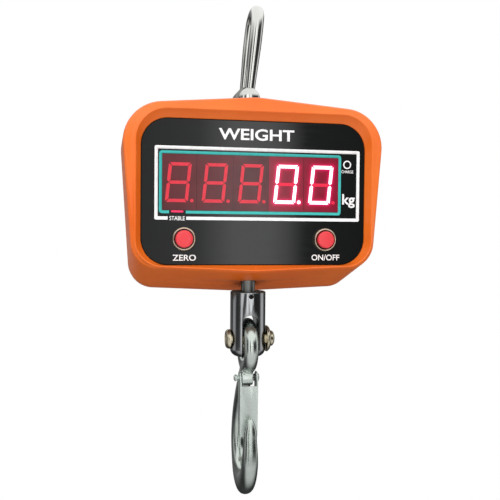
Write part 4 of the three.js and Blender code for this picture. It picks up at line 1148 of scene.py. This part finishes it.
def make_latch():
    """The sprung latch: a folded channel with two ears about its pin."""
    py, pz = (LATCH_PIN.y - HOOK_PIN.y) / MM, (LATCH_PIN.z - HOOK_PIN.z) / MM
    half, sheet, front, end = 7.1, 1.0, py - 6.2, pz - 46
    ear = [(py + 5 * math.cos(a), pz + 5 * math.sin(a))
           for a in arc(16, math.pi * 0.75, -math.pi * 0.87)]
    side = [(front, pz - 3), (py - 3.4, pz + 4), *ear, (py + 4.5, pz - 12), (front + 8.5, end),
            (front + 1.2, end)]

    def sheet_of(name, outline, x0, x1):
        return skin(name, [[(x, y, z) for y, z in outline] for x in (x0, x1)], HOOK_PIN)

    latch = sheet_of("latch_fine", side, -half, half)
    hollow = [(front + sheet, pz - 6), (front - 4, pz - 6), (front - 4, pz + 12), (py + 20, pz + 12),
              (py + 20, end - 5), (front + 1.35 + sheet, end - 5)]
    combine(latch, sheet_of("hollow", hollow, -half + sheet, half - sheet))
    combine(latch, rod("bore", "x", LATCH_BORE_R, -10, 10, LATCH_AT, 40))
    bevel(latch, 0.35, 3, 35)
    piece(latch, "latch", "zinc_plate", "latch", material=MATERIALS["latch_zinc"])


def make_latch_pin():
    pin = lathe("latch_pin_fine", "x", [
        (0, -11.3), (1.7, -11.3), (2.1, -11), (2.7, -10.5), (2.7, -9.5), (1.9, -9.1), (1.8, -8.8),
        (1.8, 7.4), (3.4, 7.4), (3.3, 8), (2.6, 8.6), (1.4, 8.95), (0, 9),
    ], LATCH_AT, 48)
    piece(pin, "hook", "zinc_plate", "latch_pin", material=MATERIALS["latch_zinc"])


def make_latch_spring():
    turns, steps, coil_r, wire_r = 2.25, 160, 2.6, 0.3
    coil = []
    for k, a in enumerate(arc(steps, 0, 2 * math.pi * turns)):
        out = Vector((0, -math.cos(a), math.sin(a)))
        centre = Vector((3.9 + 1.7 * k / steps, 0, 0)) + out * coil_r
        coil.append([tuple(centre + out * wire_r * math.cos(b) + Vector((1, 0, 0)) * wire_r * math.sin(b))
                     for b in arc(12, 0, 2 * math.pi)[:-1]])
    piece(skin("latch_spring_fine", coil, LATCH_AT), "hook", "spring_steel", "latch_spring")


def make_jack():
    """The charging socket on the housing's right side."""
    low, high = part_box("charging_jack")
    at = Vector((0, (low.y + high.y) / 2, (low.z + high.z) / 2))
    inner, outer = low.x / MM, high.x / MM
    jack = lathe("charging_jack_fine", "x", [
        (0, inner), (4, inner), (4, outer - 1.4), (5.4, outer - 1.4), (5.6, outer - 1.2),
        (5.5, outer - 0.4), (5.1, outer), (2.9, outer), (2.6, outer - 0.3), (2.6, outer - 8), (0, outer - 8),
    ], at, 64)
    piece(jack, "scale_body", "black_plastic", "charging_jack")


make_front_shell()
make_rear_cover()
make_gasket()
make_panel()
make_print()
make_digits()
make_button("zero")
make_button("switch")
make_shackle()
make_load_cell()
make_clevis()
make_clevis_pin()
make_hook()
make_latch()
make_latch_pin()
make_latch_spring()
make_jack()

# ---------------- studio


def area_light(name, size, location, power):
    """A soft light aimed at the housing, which doesn't show in reflections."""
    light = bpy.data.lights.new(name, "AREA")
    light.shape = "RECTANGLE"
    light.size, light.size_y = size
    light.energy = power
    obj = bpy.data.objects.new(name, light)
    obj.location = location
    obj.rotation_euler = (HOUSE - Vector(location)).to_track_quat("-Z", "Y").to_euler()
    obj.visible_glossy = False
    show(obj)


# share of a turn and brightness: 0 and 1 are behind the camera, 0.25 is to the left, 0.5 behind the
# object and 0.75 to the right
BANDS = (
    (0.0, 0.9), (0.01, 1.8), (0.035, 1.7), (0.055, 0.12), (0.09, 0.08), (0.11, 1.3), (0.15, 1.1),
    (0.17, 0.08), (0.25, 0.05), (0.29, 0.6), (0.33, 0.5), (0.37, 0.05), (0.5, 0.25), (0.62, 0.05),
    (0.68, 0.08), (0.72, 0.9), (0.76, 0.8), (0.79, 0.05), (0.9, 0.03), (0.93, 0.06), (0.957, 0.25),
    (0.963, 1.9), (0.974, 1.9), (0.979, 0.8), (0.995, 0.55), (1.0, 0.9),
)
WHITE = (1, 1, 1, 1)


def reflected_room(sky, direction):
    """What the metal mirrors: upright bands, a soft box overhead and a floor below."""
    azimuth = sky.node("Math", operation="ARCTAN2")
    sky.link(direction["X"], azimuth.inputs[0])
    sky.link(direction["Y"], azimuth.inputs[1])
    turn = sky.grey(azimuth.outputs[0], 0, 1, -math.pi, math.pi)
    bands = sky.ramp(turn, [(at, (value, value, value, 1)) for at, value in BANDS])
    overhead = sky.node("Mix", data_type="RGBA")
    sky.link(sky.grey(direction["Z"], 0, 1, 0.3, 0.5), overhead.inputs["Factor"])
    sky.link(bands, overhead.inputs["A"])
    overhead.inputs["B"].default_value = (1.1, 1.1, 1.1, 1)
    below = sky.node("Mix", data_type="RGBA")
    sky.link(sky.grey(direction["Z"], 0, 1, -0.2, -0.4), below.inputs["Factor"])
    sky.link(overhead.outputs["Result"], below.inputs["A"])
    # the floor is bright towards the camera and dark behind the object
    sky.link(sky.grey(direction["Y"], 0.75, 0.04, -0.35, 0.25), below.inputs["B"])
    room = sky.node("Background")
    sky.link(below.outputs["Result"], room.inputs["Color"])
    return room


def make_world():
    """White behind the object; for reflections, a room with brighter and darker stretches."""
    world = bpy.data.worlds.new("studio")
    bpy.context.scene.world = world
    world.use_nodes = True
    sky = Graph(world.node_tree)
    sky.tree.nodes.clear()
    separate = sky.node("SeparateXYZ")
    sky.link(sky.node("TexCoord").outputs["Generated"], separate.inputs["Vector"])
    direction = separate.outputs
    room = reflected_room(sky, direction)
    # the light that falls on the object is stronger from above than from below
    soft, white = sky.node("Background", Color=WHITE), sky.node("Background", Color=WHITE)
    sky.link(sky.grey(direction["Z"], 0.22, 0.8, -0.5, 0.5), soft.inputs["Strength"])
    path, glossy_mix, camera_mix = sky.node("LightPath"), sky.node("MixShader"), sky.node("MixShader")
    sky.link(path.outputs["Is Glossy Ray"], glossy_mix.inputs["Fac"])
    sky.link(soft.outputs[0], glossy_mix.inputs[1])
    sky.link(room.outputs[0], glossy_mix.inputs[2])
    sky.link(path.outputs["Is Camera Ray"], camera_mix.inputs["Fac"])
    sky.link(glossy_mix.outputs[0], camera_mix.inputs[1])
    sky.link(white.outputs[0], camera_mix.inputs[2])
    sky.link(camera_mix.outputs[0], sky.node("OutputWorld").inputs["Surface"])


FLOOR_DROP = 110            # millimetres from the lowest point of the model to the floor


def make_floor():
    """A pale floor under the hanging scale; the camera sees it as white, like the backdrop."""
    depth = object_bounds()[0][2] / MM - FLOOR_DROP
    corners = ((-4000, -3000), (4000, -3000), (4000, 6000), (-4000, 6000))
    floor = mesh_object("floor", [(x, y, depth) for x, y in corners], [(0, 1, 2, 3)], smooth=False)
    s = Shader("floor_white", (0.62, 0.62, 0.62, 1), 0.7)
    output = s.tree.nodes["Material Output"]
    emission, mix, path = s.node("Emission"), s.node("MixShader"), s.node("LightPath")
    s.link(path.outputs["Is Camera Ray"], mix.inputs["Fac"])
    s.link(s.bsdf.outputs[0], mix.inputs[1])
    s.link(emission.outputs[0], mix.inputs[2])
    s.link(mix.outputs[0], output.inputs["Surface"])
    floor.data.materials.append(s.material)
    floor.visible_glossy = False


CAMERA_AZIMUTH, CAMERA_PITCH, CAMERA_ROLL = -11, 1.6, 0.5      # degrees; the pitch is downwards
CAMERA_DISTANCE = 0.571                                       # metres from the housing's middle
CAMERA_LENS, CAMERA_SHIFT = 51.84, 0.0034


def make_camera():
    """The camera stands to the left of the scale, level with the upper part of the buttons."""
    azimuth = math.radians(CAMERA_AZIMUTH)
    camera = bpy.data.cameras.new("camera")
    camera.lens = CAMERA_LENS
    camera.sensor_width = 36
    camera.shift_x = CAMERA_SHIFT
    obj = bpy.data.objects.new("camera", camera)
    obj.location = (HOUSE.x + CAMERA_DISTANCE * math.sin(azimuth), -CAMERA_DISTANCE * math.cos(azimuth),
                    HOUSE.z - 27.75 * MM)
    look = Matrix.Rotation(azimuth, 4, "Z") @ Matrix.Rotation(math.radians(90 - CAMERA_PITCH), 4, "X")
    roll = Matrix.Rotation(math.radians(CAMERA_ROLL), 4, "Z")
    obj.rotation_euler = (look @ roll).to_euler()
    show(obj)
    bpy.context.scene.camera = obj


make_world()
make_floor()
make_camera()
area_light("key", (0.9, 0.9), (-0.5, -1.0, 0.55), 9)
area_light("fill", (1.2, 0.8), (0.9, -1.0, 0.0), 4)
bpy.context.scene.view_settings.view_transform = "Standard"
